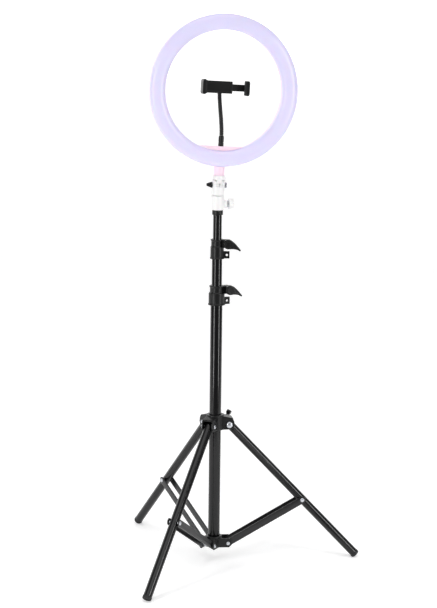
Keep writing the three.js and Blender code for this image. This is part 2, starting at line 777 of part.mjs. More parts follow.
function tiltFork() {
  const base = rod(ADAPTER_RADIUS, [0, 0, leanClearance], [0, 0, TILT_AXIS_UP], TUBE_SIDES);
  const round = rod(ADAPTER_RADIUS, [0, 0, 0], [0, 0, 2 * TILT_AXIS_UP], TUBE_SIDES);
  const ears = rod(
    TILT_EAR_RADIUS,
    [-ADAPTER_RADIUS, 0, TILT_AXIS_UP],
    [ADAPTER_RADIUS, 0, TILT_AXIS_UP],
    TUBE_SIDES,
  ).intersect(round);
  const gap = block(
    [-earInside, -20, TILT_AXIS_UP - TILT_EAR_RADIUS - 2],
    [earInside, 20, 3 * TILT_AXIS_UP],
  );
  const hole = rod(CLAMP_SCREW + GAP, [-20, 0, TILT_AXIS_UP], [20, 0, TILT_AXIS_UP], BOLT_SIDES);
  const trim = block([-20, -20, TILT_AXIS_UP - 3], [20, 20, TILT_AXIS_UP + 1]);
  return base.subtract(trim).add(ears).subtract(gap).subtract(hole);
}

function tiltTongue() {
  const radius = TILT_EAR_RADIUS - 0.5;
  const knuckle = rod(
    radius,
    [-TONGUE_HALF, 0, TILT_AXIS_UP],
    [TONGUE_HALF, 0, TILT_AXIS_UP],
    TUBE_SIDES,
  );
  const web = block([-TONGUE_HALF, -7, TILT_AXIS_UP], [TONGUE_HALF, 7, blockBottom + 1]);
  const top = rod(ADAPTER_RADIUS, [0, 0, blockBottom], [0, 0, blockTop], TUBE_SIDES);
  const slot = block(
    [-2.4, -radius - 1, TILT_AXIS_UP - 4.2],
    [2.4, -radius + 3.2, TILT_AXIS_UP + 4.2],
  );
  const hole = rod(CLAMP_SCREW + GAP, [-20, 0, TILT_AXIS_UP], [20, 0, TILT_AXIS_UP], BOLT_SIDES);
  return knuckle.add(web).add(top).subtract(slot).subtract(hole);
}

const tiltKnobNear = -ADAPTER_RADIUS - 2 * GAP;

function tiltBolt() {
  const headNear = ADAPTER_RADIUS + GAP;
  const shank = rod(
    CLAMP_SCREW,
    [tiltKnobNear - TILT_KNOB_BORE, 0, TILT_AXIS_UP],
    [headNear + 1, 0, TILT_AXIS_UP],
    BOLT_SIDES,
  );
  const bolt = rod(5.5, [headNear, 0, TILT_AXIS_UP], [headNear + 3, 0, TILT_AXIS_UP], 6);
  return shank.add(bolt);
}

function tiltKnob() {
  const far = tiltKnobNear - TILT_KNOB_LENGTH;
  const cone = rod(
    TILT_KNOB_RADIUS,
    [tiltKnobNear, 0, TILT_AXIS_UP],
    [far, 0, TILT_AXIS_UP],
    TUBE_SIDES,
    TILT_KNOB_TIP,
  );
  const fluteAt = TILT_KNOB_RADIUS + 1.1;
  const made = fluted(cone, 6, fluteAt, 1.6, far - 1, tiltKnobNear + 1, TILT_AXIS_UP);
  const hole = rod(
    CLAMP_SCREW + GAP,
    [tiltKnobNear - TILT_KNOB_BORE - GAP, 0, TILT_AXIS_UP],
    [tiltKnobNear + 1, 0, TILT_AXIS_UP],
    BOLT_SIDES,
  );
  return made.subtract(hole);
}

head.add(
  piece("tilt_fork", tiltFork(), whitePlastic()),
  piece("tilt_tongue", tiltTongue(), whitePlastic()),
  piece("tilt_bolt", tiltBolt(), brightSteel()),
  piece("tilt_knob", tiltKnob(), blackPlastic()),
);

// ---- Ring lamp ----
// Ring pieces are turned round the Y axis; negative y faces forwards.

const outer = RING_OD / 2;
const inner = RING_ID / 2;
const bandMiddle = (outer + inner) / 2;

const ring = new THREE.Group();
ring.position.set(0, -RING_FORWARD, ringUp);
head.add(ring);

// The back of the lamp, a round-cornered trough open to the front.
function ringShell() {
  const out = outer - 0.5;
  const inn = inner + 0.5;
  const corner = 5;
  const t = SHELL_WALL;
  const post = (i) => {
    const angle = (i / 6) * 2 * Math.PI;
    const x = bandMiddle * Math.cos(angle);
    const z = bandMiddle * Math.sin(angle);
    return rod(2.5, [x, 6, z], [x, SHELL_DEPTH - 1, z], 10);
  };
  let made = turned(
    [
      [out, 0],
      [out, SHELL_DEPTH - corner],
      [out - corner * 0.3, SHELL_DEPTH - corner * 0.3],
      [out - corner, SHELL_DEPTH],
      [inn + corner, SHELL_DEPTH],
      [inn + corner * 0.3, SHELL_DEPTH - corner * 0.3],
      [inn, SHELL_DEPTH - corner],
      [inn, 0],
      [inn + t, 0],
      [inn + t, SHELL_DEPTH - corner],
      [inn + corner, SHELL_DEPTH - t],
      [out - corner, SHELL_DEPTH - t],
      [out - t, SHELL_DEPTH - corner],
      [out - t, 0],
    ],
    RING_SIDES,
    false,
  );
  for (let i = 0; i < 6; i += 1) made = made.add(post(i));
  return made;
}

// The domed milky cover, a shell of even thickness open to the back.
function diffuser() {
  const half = (outer - inner) / 2;
  const flat = 5;
  const steps = 5;
  const dome = (inset, i) => {
    const angle = (Math.PI * i) / steps;
    const rise = DIFFUSER_DEPTH - flat - inset;
    return [
      bandMiddle + (half - inset) * Math.cos(angle),
      -flat - rise * Math.sin(angle),
    ];
  };
  const counts = Array.from({ length: steps + 1 }, (_, i) => i);
  return turned(
    [
      [outer, -GAP],
      ...counts.map((i) => dome(0, i)),
      [inner, -GAP],
      [inner + SHELL_WALL, -GAP],
      ...counts.map((i) => dome(SHELL_WALL, steps - i)),
      [outer - SHELL_WALL, -GAP],
    ],
    RING_SIDES,
    false,
  );
}

function ledBoard() {
  const edge = SHELL_WALL + 2.5;
  return turned(
    [
      [inner + edge, 4],
      [outer - edge, 4],
      [outer - edge, 6 - GAP],
      [inner + edge, 6 - GAP],
    ],
    RING_SIDES,
    false,
  );
}

// A pad shaped to the bottom of the ring's inner edge, which carries the gooseneck.
function baseBlock() {
  const round = rod(inner - 0.5, [0, -9, 0], [0, -9 + PAD_DEPTH, 0], RING_SIDES);
  const chord = block([-60, -20, -inner], [60, 20, -inner + PAD_RISE]);
  const hole = rod(3 + GAP, [0, 0, -inner + PAD_RISE - 6], [0, 0, -inner + PAD_RISE + 1], BOLT_SIDES);
  return round.intersect(chord).subtract(hole);
}

// The socket for the supply lead, standing on the back beside the neck.
function powerInlet() {
  const angle = -74 * DEGREE;
  const x = bandMiddle * Math.cos(angle);
  const z = bandMiddle * Math.sin(angle);
  const near = SHELL_DEPTH + GAP;
  const body = rod(6, [x, near, z], [x, near + 6, z], BOLT_SIDES, 5);
  const bore = rod(2.75, [x, near + 2, z], [x, near + 7, z], BOLT_SIDES);
  return body.subtract(bore);
}

// Rises from the tilt block to a saddle under the ring's outer edge.
function neck() {
  const post = rod(NECK_RADIUS, [0, 0, blockTop + GAP], [0, 0, ringUp - outer + 4], TUBE_SIDES);
  const saddle = rod(
    outer + GAP,
    [0, -2 * NECK_RADIUS, ringUp],
    [0, 2 * NECK_RADIUS, ringUp],
    RING_SIDES,
  );
  return post.subtract(saddle);
}

ring.add(
  piece("ring_shell", ringShell(), pinkPlastic()),
  piece("diffuser", diffuser(), milkyPlastic()),
  piece("led_board", ledBoard(), whitePlastic()),
  piece("base_block", baseBlock(), pinkPlastic()),
  piece("power_inlet", powerInlet(), blackPlastic()),
);
head.add(piece("neck", neck(), pinkPlastic()));

// ---- Gooseneck and phone clamp ----

const padTop = ringUp - inner + PAD_RISE;
const fittingTop = padTop + GAP + FITTING_LENGTH;
const clampUp = ringUp + CLAMP_ABOVE_CENTRE;
const ballBack = -CLAMP_BACK + 8.5; // ball centre, along Y
const stemEnd = ballBack + BALL_RADIUS + 5;
const bodyFront = -CLAMP_BACK - CLAMP_THICK;
const jawFace = CLAMP_OPENING / 2 + PAD_THICK + GAP;
const slideEnd = 14; // right-hand end of the clamp housing

function gooseneckFitting() {
  const y = -RING_FORWARD;
  const stud = rod(3, [0, y, padTop - 5], [0, y, padTop + 1], BOLT_SIDES);
  const body = rod(FITTING_RADIUS, [0, y, padTop + GAP], [0, y, fittingTop - 2], TUBE_SIDES).add(
    rod(FITTING_RADIUS, [0, y, fittingTop - 2], [0, y, fittingTop], TUBE_SIDES, HOSE_RADIUS),
  );
  return stud.add(body);
}

function gooseneck() {
  const y = -RING_FORWARD;
  const bottom = fittingTop + GAP;
  const path = new THREE.CubicBezierCurve3(
    new THREE.Vector3(0, y, bottom),
    new THREE.Vector3(0, y, bottom + 0.35 * (clampUp - bottom)),
    new THREE.Vector3(0, stemEnd + 42, clampUp),
    new THREE.Vector3(0, stemEnd + GAP, clampUp),
  );
  const section = new THREE.Shape().absarc(0, 0, HOSE_RADIUS, 0, 2 * Math.PI);
  return solid(
    new THREE.ExtrudeGeometry(section, { extrudePath: path, steps: 16, curveSegments: 4 }),
  );
}

function ballStud() {
  const neckRadius = 3;
  return ball(BALL_RADIUS, [0, ballBack, clampUp])
    .add(rod(neckRadius, [0, ballBack, clampUp], [0, stemEnd - 3, clampUp], BOLT_SIDES))
    .add(rod(HOSE_RADIUS, [0, stemEnd - 3, clampUp], [0, stemEnd, clampUp], BOLT_SIDES));
}

// The ring nut that draws the ball against the clamp's cup.
function ballNut() {
  const hollow = BALL_RADIUS + GAP;
  const boss = hollow + 0.9;
  const inside = [70, 50, 30].map((degrees) => {
    const angle = (degrees - 25) * DEGREE;
    return [hollow * Math.cos(angle), hollow * Math.sin(angle)];
  });
  const made = turned(
    [
      [boss + 2.3, -7],
      [boss + 2.3, 3.5],
      [boss + 0.8, 7],
      [hollow + 0.2, 7],
      ...inside,
      [hollow, -1.2],
      [boss, -1.2],
      [boss, -7],
    ],
    TUBE_SIDES,
    false,
  );
  return made.translate([0, ballBack, clampUp]);
}

function jawOutline(side) {
  const half = JAW_HEIGHT / 2;
  const face = side * jawFace;
  const back = side * (jawFace + JAW_THICK);
  const outline = new THREE.Shape();
  outline.moveTo(face, clampUp - half);
  outline.lineTo(back - side * 2.5, clampUp - half);
  outline.quadraticCurveTo(back, clampUp - half + 1, back, clampUp - half + 5);
  outline.lineTo(back, clampUp + half - 5);
  outline.quadraticCurveTo(back, clampUp + half - 1, back - side * 2.5, clampUp + half);
  outline.lineTo(face, clampUp + half);
  return outline;
}

function clampBody() {
  const housing = block(
    [-jawFace - 1, bodyFront, clampUp - 11],
    [slideEnd, -CLAMP_BACK, clampUp + 11],
  );
  const jaw = plate(jawOutline(-1), bodyFront - JAW_REACH, -CLAMP_BACK);
  const bossRadius = BALL_RADIUS + GAP + 0.6;
  const boss = rod(
    bossRadius,
    [0, -CLAMP_BACK - 1, clampUp],
    [0, ballBack - 1.5, clampUp],
    TUBE_SIDES,
  );
  const cup = ball(BALL_RADIUS + GAP, [0, ballBack, clampUp]);
  const pocket = block(
    [-jawFace + 2, bodyFront + 1.5, clampUp - 6.5],
    [slideEnd + 1, -CLAMP_BACK - 1.5, clampUp + 6.5],
  );
  return housing.add(jaw).add(boss).subtract(cup).subtract(pocket);
}

function slidingJaw() {
  const jaw = plate(jawOutline(1), bodyFront - JAW_REACH, -CLAMP_BACK);
  const tongue = block(
    [slideEnd - 28, bodyFront + 1.5 + GAP, clampUp - 6.5 + GAP],
    [jawFace + 1, -CLAMP_BACK - 1.5 - GAP, clampUp + 6.5 - GAP],
  );
  return jaw.add(tongue);
}

function gripPad(side) {
  const near = CLAMP_OPENING / 2;
  const low = side > 0 ? near : -near - PAD_THICK;
  return block(
    [low, bodyFront - JAW_REACH + 1, clampUp - JAW_HEIGHT / 2 + 1.5],
    [low + PAD_THICK, bodyFront - GAP, clampUp + JAW_HEIGHT / 2 - 1.5],
  );
}

head.add(
  piece("gooseneck_fitting", gooseneckFitting(), brightSteel()),
  piece("gooseneck", gooseneck(), blackPlastic()),
  piece("ball_stud", ballStud(), brightSteel()),
  piece("ball_nut", ballNut(), blackPlastic()),
  piece("clamp_body", clampBody(), blackPlastic()),
  piece("sliding_jaw", slidingJaw(), blackPlastic()),
  piece("fixed_pad", gripPad(-1), blackPlastic()),
  piece("sliding_pad", gripPad(1), blackPlastic()),
);

// ---- Placing the whole on its origin ----

const light = new THREE.Group();
light.add(stand);
light.updateMatrixWorld(true);
const box = new THREE.Box3().setFromObject(light, true);
stand.position.set(-(box.min.x + box.max.x) / 2, -(box.min.y + box.max.y) / 2, -box.min.z);
light.updateMatrixWorld(true);

// Where each moving part turns or slides, in the light's own frame.
function pivot(group, at, axis) {
  const point = group.localToWorld(new THREE.Vector3(...at));
  const direction = new THREE.Vector3(...axis).transformDirection(group.matrixWorld);
  return { point: point.toArray(), axis: direction.toArray() };
}

function legPivots(name, angle) {
  const across = new THREE.Group();
  across.rotation.z = angle * DEGREE;
  stand.add(across);
  across.updateMatrixWorld(true);
  const made = {
    [name + "_leg"]: pivot(across, [LEG_PIVOT_OUT, 0, TOP_PIVOT_UP], [0, 1, 0]),
    [name + "_brace"]: pivot(across, [LEG_PIVOT_OUT, 0, BOTTOM_PIVOT_UP], [0, 1, 0]),
  };
  stand.remove(across);
  return made;
}

light.userData = {
  pivots: {
    column: pivot(stand, [0, 0, 0], [0, 0, 1]),
    lower_lever: pivot(stand.children[6], [lowerLock.boltOut, 0, leverUp], [0, -1, 0]),
    upper_lever: pivot(stand.children[7], [upperLock.boltOut, 0, leverUp], [0, -1, 0]),
    wing_knob: pivot(wingGroup, [0, 0, 0], [1, 0, 0]),
    socket_knob: pivot(stand, [0, 0, socketScrewUp], [1, 0, 0]),
    tilt: pivot(head, [0, 0, TILT_AXIS_UP], [1, 0, 0]),
    clamp_ball: pivot(head, [0, ballBack, clampUp], [1, 0, 0]),
    clamp_turn: pivot(head, [0, ballBack, clampUp], [0, 1, 0]),
    jaw: pivot(head, [0, bodyFront, clampUp], [1, 0, 0]),
    ...Object.assign({}, ...legAngles.map((angle, i) => legPivots(legNames[i], angle))),
  },
  hubTravel,
  braceSpread,
};

export default light;
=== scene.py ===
"""A ring light on a folding stand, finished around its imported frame.

Each section makes one piece, or a group of like pieces. A piece is shaped in millimetres in a
frame of its own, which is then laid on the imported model, in metres.
"""

import json
import math

import bpy
from mathutils import Matrix, Vector


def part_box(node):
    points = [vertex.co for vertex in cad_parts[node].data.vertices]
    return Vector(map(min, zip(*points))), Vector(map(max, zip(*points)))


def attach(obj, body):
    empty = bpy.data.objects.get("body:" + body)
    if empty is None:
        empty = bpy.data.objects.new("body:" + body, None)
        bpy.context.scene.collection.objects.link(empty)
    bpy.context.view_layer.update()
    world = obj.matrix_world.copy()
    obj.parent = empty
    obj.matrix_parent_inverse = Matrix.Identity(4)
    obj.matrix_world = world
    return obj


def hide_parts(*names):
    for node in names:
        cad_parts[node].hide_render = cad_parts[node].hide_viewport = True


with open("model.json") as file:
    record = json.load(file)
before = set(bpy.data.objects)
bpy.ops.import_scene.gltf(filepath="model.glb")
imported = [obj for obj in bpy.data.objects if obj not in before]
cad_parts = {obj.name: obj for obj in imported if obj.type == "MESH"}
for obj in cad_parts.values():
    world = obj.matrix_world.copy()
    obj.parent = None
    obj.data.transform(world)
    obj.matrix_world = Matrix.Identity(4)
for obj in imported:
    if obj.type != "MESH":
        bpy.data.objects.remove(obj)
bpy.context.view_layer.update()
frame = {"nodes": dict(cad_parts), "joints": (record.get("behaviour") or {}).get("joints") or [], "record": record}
joints = {joint["name"]: joint for joint in frame["joints"]}

MM = 0.001
UP = Vector((0, 0, 1))


# ---- Camera ----
# A long lens three metres in front of the stand and a little to its left, nearly level with the
# top of the lamp. It looks slightly down, so that the feet show spread on the floor.

column_low, column_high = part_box("column_tube")
column_foot = (column_low + column_high) / 2
column_foot.z = 0

CAMERA_BACK = 3.011
CAMERA_UP = 0.992
CAMERA_SIDE = math.radians(13)
CAMERA_AIM = math.radians(13.07)
CAMERA_DOWN = math.radians(9.48)
CAMERA_ROLL = math.radians(0.68)
LENS = 97.8

lens = bpy.data.cameras.new("camera")
lens.lens = LENS
lens.sensor_width = 36
camera = bpy.data.objects.new("camera", lens)
bpy.context.scene.collection.objects.link(camera)
away = Vector((-math.sin(CAMERA_SIDE), -math.cos(CAMERA_SIDE), 0))
camera.matrix_world = (
    Matrix.Translation(column_foot + away * CAMERA_BACK + UP * CAMERA_UP)
    @ Matrix.Rotation(-CAMERA_AIM, 4, "Z")
    @ Matrix.Rotation(math.pi / 2 - CAMERA_DOWN, 4, "X")
    @ Matrix.Rotation(CAMERA_ROLL, 4, "Z")
)
bpy.context.scene.camera = camera


# ---- Floor and light ----
# A pale floor and a far white backdrop, under a wide overhead scrim, with a tall soft box on each
# side that draws a long highlight down every tube.


def add_node(tree, kind, inputs=None, **settings):
    """Adds one node, sets its properties, and links or fills its inputs by identifier."""
    made = tree.nodes.new(kind)
    for name, value in settings.items():
        setattr(made, name, value)
    for key, value in (inputs or {}).items():
        socket = next(s for s in made.inputs if s.identifier == key)
        if isinstance(value, bpy.types.NodeSocket):
            tree.links.new(value, socket)
        else:
            socket.default_value = value
    return made


def srgb(code):
    """An sRGB hex colour as linear red, green, blue and alpha."""
    parts = [int(code[i : i + 2], 16) / 255 for i in (0, 2, 4)]
    linear = [c / 12.92 if c <= 0.04045 else ((c + 0.055) / 1.055) ** 2.4 for c in parts]
    return (*linear, 1)


def grained(name, dark, pale, patch, grain, depth, rough, uneven, **shading):
    """A surface with two close shades in soft patches, and a fine grain in its height and gloss.

    patch and grain are sizes and depth is a height, in millimetres. rough is the mean roughness
    and uneven how far it strays. shading fills the shader's own sockets.
    """
    material = bpy.data.materials.new(name)
    material.use_nodes = True
    tree = material.node_tree
    tree.nodes.clear()
    place = add_node(tree, "ShaderNodeTexCoord").outputs["Object"]
    patches = add_node(
        tree,
        "ShaderNodeTexNoise",
        {"Vector": place, "Scale": 1 / (patch * MM), "Detail": 3.0},
    ).outputs["Fac"]
    grains = add_node(
        tree,
        "ShaderNodeTexNoise",
        {"Vector": place, "Scale": 1 / (grain * MM), "Detail": 2.0},
    ).outputs["Fac"]
    shade = add_node(
        tree,
        "ShaderNodeMix",
        {"Factor_Float": patches, "A_Color": srgb(dark), "B_Color": srgb(pale)},
        data_type="RGBA",
    ).outputs[2]
    gloss = add_node(
        tree,
        "ShaderNodeMapRange",
        {"Value": grains, "To Min": rough - uneven, "To Max": rough + uneven},
    ).outputs["Result"]
    bump = add_node(
        tree,
        "ShaderNodeBump",
        {"Height": grains, "Strength": 0.5, "Distance": depth * MM},
    ).outputs["Normal"]
    shader = add_node(
        tree,
        "ShaderNodeBsdfPrincipled",
        {"Base Color": shade, "Roughness": gloss, "Normal": bump, **shading},
    )
    add_node(tree, "ShaderNodeOutputMaterial", {"Surface": shader.outputs["BSDF"]})
    return material


# Matt seamless studio paper: soft shadows and no reflections.
studio_paper = grained(
    "studio_paper",
    "f7f7f7",
    "fafafa",
    300,
    2,
    0.02,
    0.9,
    0.05,
    **{"Emission Color": srgb("ffffff"), "Emission Strength": 0.24},
)

# White cloth, lit from behind.
lit_cloth = grained(
    "lit_cloth",
    "f7f7f7",
    "fafafa",
    300,
    2,
    0.02,
    0.9,
    0.05,
    **{"Emission Color": srgb("ffffff"), "Emission Strength": 0.8},
)

# Metres
STUDIO_WIDTH = 120
FLOOR_FRONT = 0.9  # in front of the column
FLOOR_BACK = 30
BACKDROP_HEIGHT = 40


def stage_panel(name, corners, material):
    """A flat panel of the studio."""
    mesh = bpy.data.meshes.new(name)
    mesh.from_pydata(corners, [], [range(4)])
    mesh.materials.append(material)
    panel = bpy.data.objects.new(name, mesh)
    bpy.context.scene.collection.objects.link(panel)


left, right = -STUDIO_WIDTH / 2, STUDIO_WIDTH / 2
stage_panel(
    "studio_floor",
    [(left, -FLOOR_FRONT, 0), (right, -FLOOR_FRONT, 0), (right, FLOOR_BACK, 0), (left, FLOOR_BACK, 0)],
    studio_paper,
)
stage_panel(
    "backdrop",
    [
        (left, FLOOR_BACK, 0),
        (right, FLOOR_BACK, 0),
        (right, FLOOR_BACK, BACKDROP_HEIGHT),
        (left, FLOOR_BACK, BACKDROP_HEIGHT),
    ],
    lit_cloth,
)

ROOM_STRENGTH = 0.22
SCRIM_STRENGTH = 1.1
SCRIM_SPREAD = math.radians(60)
SCRIM_LEAN = math.radians(15)

room = bpy.data.worlds.new("room")
room.use_nodes = True
room.node_tree.nodes["Background"].inputs["Color"].default_value = srgb("fdfdfe")
room.node_tree.nodes["Background"].inputs["Strength"].default_value = ROOM_STRENGTH
bpy.context.scene.world = room
bpy.context.scene.view_settings.view_transform = "Standard"

scrim = bpy.data.lights.new("overhead_scrim", "SUN")
scrim.energy = SCRIM_STRENGTH
scrim.angle = SCRIM_SPREAD
scrim_lamp = bpy.data.objects.new("overhead_scrim", scrim)
scrim_lamp.rotation_euler = (SCRIM_LEAN, 0, 0)
bpy.context.scene.collection.objects.link(scrim_lamp)

BOX_WIDTH = 0.4
BOX_HEIGHT = 2.0
BOX_UP = 1.0
BOX_AIM = 0.55  # the height that it is turned to
BOX_WATTS = 35


def soft_box(name, side, back):
    """A tall lamp in front of the stand and to one side, aimed about halfway up it."""
    data = bpy.data.lights.new(name, "AREA")
    data.shape = "RECTANGLE"
    data.size = BOX_WIDTH
    data.size_y = BOX_HEIGHT
    data.energy = BOX_WATTS
    light = bpy.data.objects.new(name, data)
    bpy.context.scene.collection.objects.link(light)
    spot = column_foot + Vector((side, -back, BOX_UP))
    target = column_foot + UP * BOX_AIM
    light.matrix_world = (
        Matrix.Translation(spot) @ (target - spot).to_track_quat("-Z", "Y").to_matrix().to_4x4()
    )


soft_box("left_soft_box", -2.2, 1.5)
soft_box("right_soft_box", 1.9, 2.1)


# ---- Column tubes ----
# Three drawn aluminium tubes, 22, 19 and 16 mm, each sliding in the next and coated gloss black.
# The cut ends are turned over slightly. A nylon bush guides the foot of each inner tube.

COLUMN_OD = 22
MIDDLE_OD = 19
TOP_OD = 16
TUBE_WALL = 1
GAP = 0.3  # between faces that meet
ROUND = 64  # sides of a round piece
EDGE_ANGLE = math.radians(35)

# Powder coat over aluminium: glossy, in two near-black shades, with a faint orange peel.
coated_aluminium = grained(
    "powder_coated_aluminium",
    "050506",
    "09090a",
    120,
    1.4,
    0.004,
    0.17,
    0.03,
    **{"Specular IOR Level": 0.4},
)

# Glass-filled nylon: satin black with a fine spark-eroded grain and flow marks.
black_nylon = grained(
    "glass_filled_nylon",
    "09090a",
    "0f1010",
    14,
    0.6,
    0.02,
    0.36,
    0.06,
    **{"Specular IOR Level": 0.35},
)


def only(made):
    """Leaves this object alone selected and active."""
    bpy.ops.object.select_all(action="DESELECT")
    made.select_set(True)
    bpy.context.view_layer.objects.active = made


def modified(made, kind, **settings):
    """Adds one modifier and applies it."""
    only(made)
    modifier = made.modifiers.new(kind.lower(), kind)
    for name, value in settings.items():
        setattr(modifier, name, value)
    bpy.ops.object.modifier_apply(modifier=modifier.name)
    return made


def edges_rounded(made, width, segments=2):
    """Rounds every sharp edge a little, and shades the rest smooth."""
    modified(
        made,
        "BEVEL",
        width=width,
        segments=segments,
        limit_method="ANGLE",
        angle_limit=EDGE_ANGLE,
    )
    only(made)
    bpy.ops.object.shade_smooth_by_angle(angle=EDGE_ANGLE)
    return made


def spun(profile, sides=ROUND, across=False):
    """Turns a profile of (radius, height) points round Z, or round Y if across.

    A profile that starts off the axis is closed into a ring.
    """
    points = [(radius, 0, height) for radius, height in profile]
    edges = [(i, i + 1) for i in range(len(points) - 1)]
    if profile[0][0] > 0:
        edges.append((len(points) - 1, 0))
    mesh = bpy.data.meshes.new("spun")
    mesh.from_pydata(points, edges, [])
    made = bpy.data.objects.new("spun", mesh)
    bpy.context.scene.collection.objects.link(made)
    only(made)
    bpy.ops.object.mode_set(mode="EDIT")
    bpy.ops.mesh.select_all(action="SELECT")
    bpy.ops.mesh.spin(steps=sides, angle=2 * math.pi, center=(0, 0, 0), axis=(0, 0, 1))
    bpy.ops.mesh.select_all(action="SELECT")
    bpy.ops.mesh.remove_doubles(threshold=0.001)
    bpy.ops.mesh.normals_make_consistent(inside=False)
    bpy.ops.object.mode_set(mode="OBJECT")
    if across:
        mesh.transform(Matrix.Rotation(-math.pi / 2, 4, "X"))
    return made


def fitted(made, name, place, body, material, slot, *stands_for):
    """Lays a finished piece on the model: its place goes in its mesh, and it rides on a body."""
    made.name = name
    made.data.name = name
    made.data.transform(place @ Matrix.Scale(MM, 4) @ made.matrix_basis)
    made.matrix_basis = Matrix.Identity(4)
    made.data.materials.clear()
    made.data.materials.append(material)
    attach(made, body)
    if stands_for:
        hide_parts(*stands_for)
    return made


def carried(node, material):
    """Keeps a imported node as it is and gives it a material."""
    frame["nodes"][node].data.materials.clear()
    frame["nodes"][node].data.materials.append(material)


def span(node):
    """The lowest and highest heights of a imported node, in millimetres."""
    low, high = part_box(node)
    return low.z / MM, high.z / MM


column_frame = Matrix.Translation(column_foot)

for node, body, outer in (
    ("column_tube", "root", COLUMN_OD),
    ("middle_tube", "middle", MIDDLE_OD),
    ("top_tube", "top", TOP_OD),
):
    low, high = span(node)
    bore = outer / 2 - TUBE_WALL
    tube = spun([(outer / 2, low), (outer / 2, high), (bore, high), (bore, low)])
    edges_rounded(tube, 0.3)
    fitted(tube, node + "_drawn", column_frame, body, coated_aluminium, "black_tube", node)

PLUG_CAP = 2.7

low, high = span("column_end_plug")
cap, spigot = COLUMN_OD / 2, COLUMN_OD / 2 - TUBE_WALL - GAP
plug = spun(
    [(0, low), (cap, low), (cap, low + PLUG_CAP), (spigot, low + PLUG_CAP), (spigot, high), (0, high)]
)
edges_rounded(plug, 0.8, 3)
fitted(plug, "column_foot_cap", column_frame, "root", black_nylon, "black_plastic", "column_end_plug")

low, high = span("top_tube_collar")
bore = TOP_OD / 2 + GAP
collar = spun([(bore, low), (10, low), (10, high), (bore, high)])
edges_rounded(collar, 0.6, 3)
fitted(collar, "stop_collar", column_frame, "top", black_nylon, "black_plastic", "top_tube_collar")

for node in ("middle_tube_bush", "top_tube_bush"):
    carried(node, black_nylon)


# ---- Section locks ----
# A stepped nylon collar at the top of each outer tube, split through its ears. A claw-shaped
# lever on a hexagon bolt draws the ears together. A drilled tab stands out below the lever.

LOCK_HEIGHT = 36
LOCK_STEP = 22
LEVER_UP = 28
SOCKET_DEPTH = 13.3
EAR_HALF = 7
SHANK = 3  # radius
BOLT_HOLE = SHANK + GAP

# Zinc plate on steel: bright and slightly blue, with a fine grain.
zinc_plated_steel = grained(
    "zinc_plated_steel", "b9bcc2", "d8dadf", 3, 0.4, 0.01, 0.28, 0.07, Metallic=1.0
)


def rod(radius, start, end, end_radius=None, sides=ROUND):
    """A round or tapered bar between two points."""
    start = Vector(start)
    along = Vector(end) - start
    bpy.ops.object.select_all(action="DESELECT")
    bpy.ops.mesh.primitive_cone_add(
        vertices=sides,
        radius1=radius,
        radius2=radius if end_radius is None else end_radius,
        depth=along.length,
    )
    made = bpy.context.object
    made.data.transform(
        Matrix.Translation(start + along / 2) @ along.to_track_quat("Z", "Y").to_matrix().to_4x4()
    )
    return made


def slab(low, high):
    """A box between two corners."""
    size = Vector(high) - Vector(low)
    bpy.ops.object.select_all(action="DESELECT")
    bpy.ops.mesh.primitive_cube_add(size=1)
    made = bpy.context.object
    made.data.transform(
        Matrix.Translation((Vector(high) + Vector(low)) / 2) @ Matrix.Diagonal((*size, 1))
    )
    return made


def plate(outline, near, far):
    """A flat outline of (x, z) points, extruded along Y."""
    mesh = bpy.data.meshes.new("plate")
    mesh.from_pydata([(x, near, z) for x, z in outline], [], [range(len(outline))])
    made = bpy.data.objects.new("plate", mesh)
    bpy.context.scene.collection.objects.link(made)
    only(made)
    bpy.ops.object.mode_set(mode="EDIT")
    bpy.ops.mesh.select_all(action="SELECT")
    bpy.ops.mesh.extrude_region_move(TRANSFORM_OT_translate={"value": (0, far - near, 0)})
    bpy.ops.mesh.select_all(action="SELECT")
    bpy.ops.mesh.normals_make_consistent(inside=False)
    bpy.ops.object.mode_set(mode="OBJECT")
    return made


def booleaned(made, operation, others):
    """Adds or takes away other shapes, which are used up."""
    for other in others:
        modified(made, "BOOLEAN", operation=operation, object=other, solver="EXACT")
        bpy.data.objects.remove(other)
    return made


def joined(made, *others):
    """One solid from several."""
    return booleaned(made, "UNION", others)


def cut(made, *others):
    """A solid with others taken out of it."""
    return booleaned(made, "DIFFERENCE", others)


def moulded(made, voxel, rounds=6):
    """Runs a solid's faces into one another, as in a moulding: voxel sets how fine it is."""
    modified(made, "REMESH", mode="VOXEL", voxel_size=voxel)
    modified(made, "SMOOTH", factor=0.5, iterations=rounds)
    only(made)
    bpy.ops.object.shade_smooth()
    return made


def turned(made, degrees, axis="Z"):
    """Turns a shape about an axis through its own origin."""
    made.data.transform(Matrix.Rotation(math.radians(degrees), 4, axis))
    return made


def curve(start, control, end, steps=8):
    """Points along a quadratic curve, without the first."""
    found = []
    for i in range(1, steps + 1):
        t = i / steps
        found.append(
            tuple(
                (1 - t) ** 2 * a + 2 * t * (1 - t) * b + t * t * c
                for a, b, c in zip(start, control, end)
            )
        )
    return found


def arc(x, z, radius, first, last, steps=16):
    """Points round a circle, from one angle to another in degrees."""
    return [
        (
            x + radius * math.cos(math.radians(first + (last - first) * i / steps)),
            z + radius * math.sin(math.radians(first + (last - first) * i / steps)),
        )
        for i in range(steps + 1)
    ]


def frame_at(point, x_axis, z_axis):
    """A frame in metres at a point, from two of its axes."""
    y_axis = z_axis.cross(x_axis)
    turn = Matrix((x_axis, y_axis, z_axis)).transposed().to_4x4()
    return Matrix.Translation(point) @ turn


def body_of(node):
    """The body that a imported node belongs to."""
    bodies = frame["record"]["behaviour"]["bodies"]
    return next(body for body, nodes in bodies.items() if node in nodes)


def ring_piece(inside, outside, low, high):
    """A plain round sleeve."""
    return spun([(inside, low), (outside, low), (outside, high), (inside, high)])


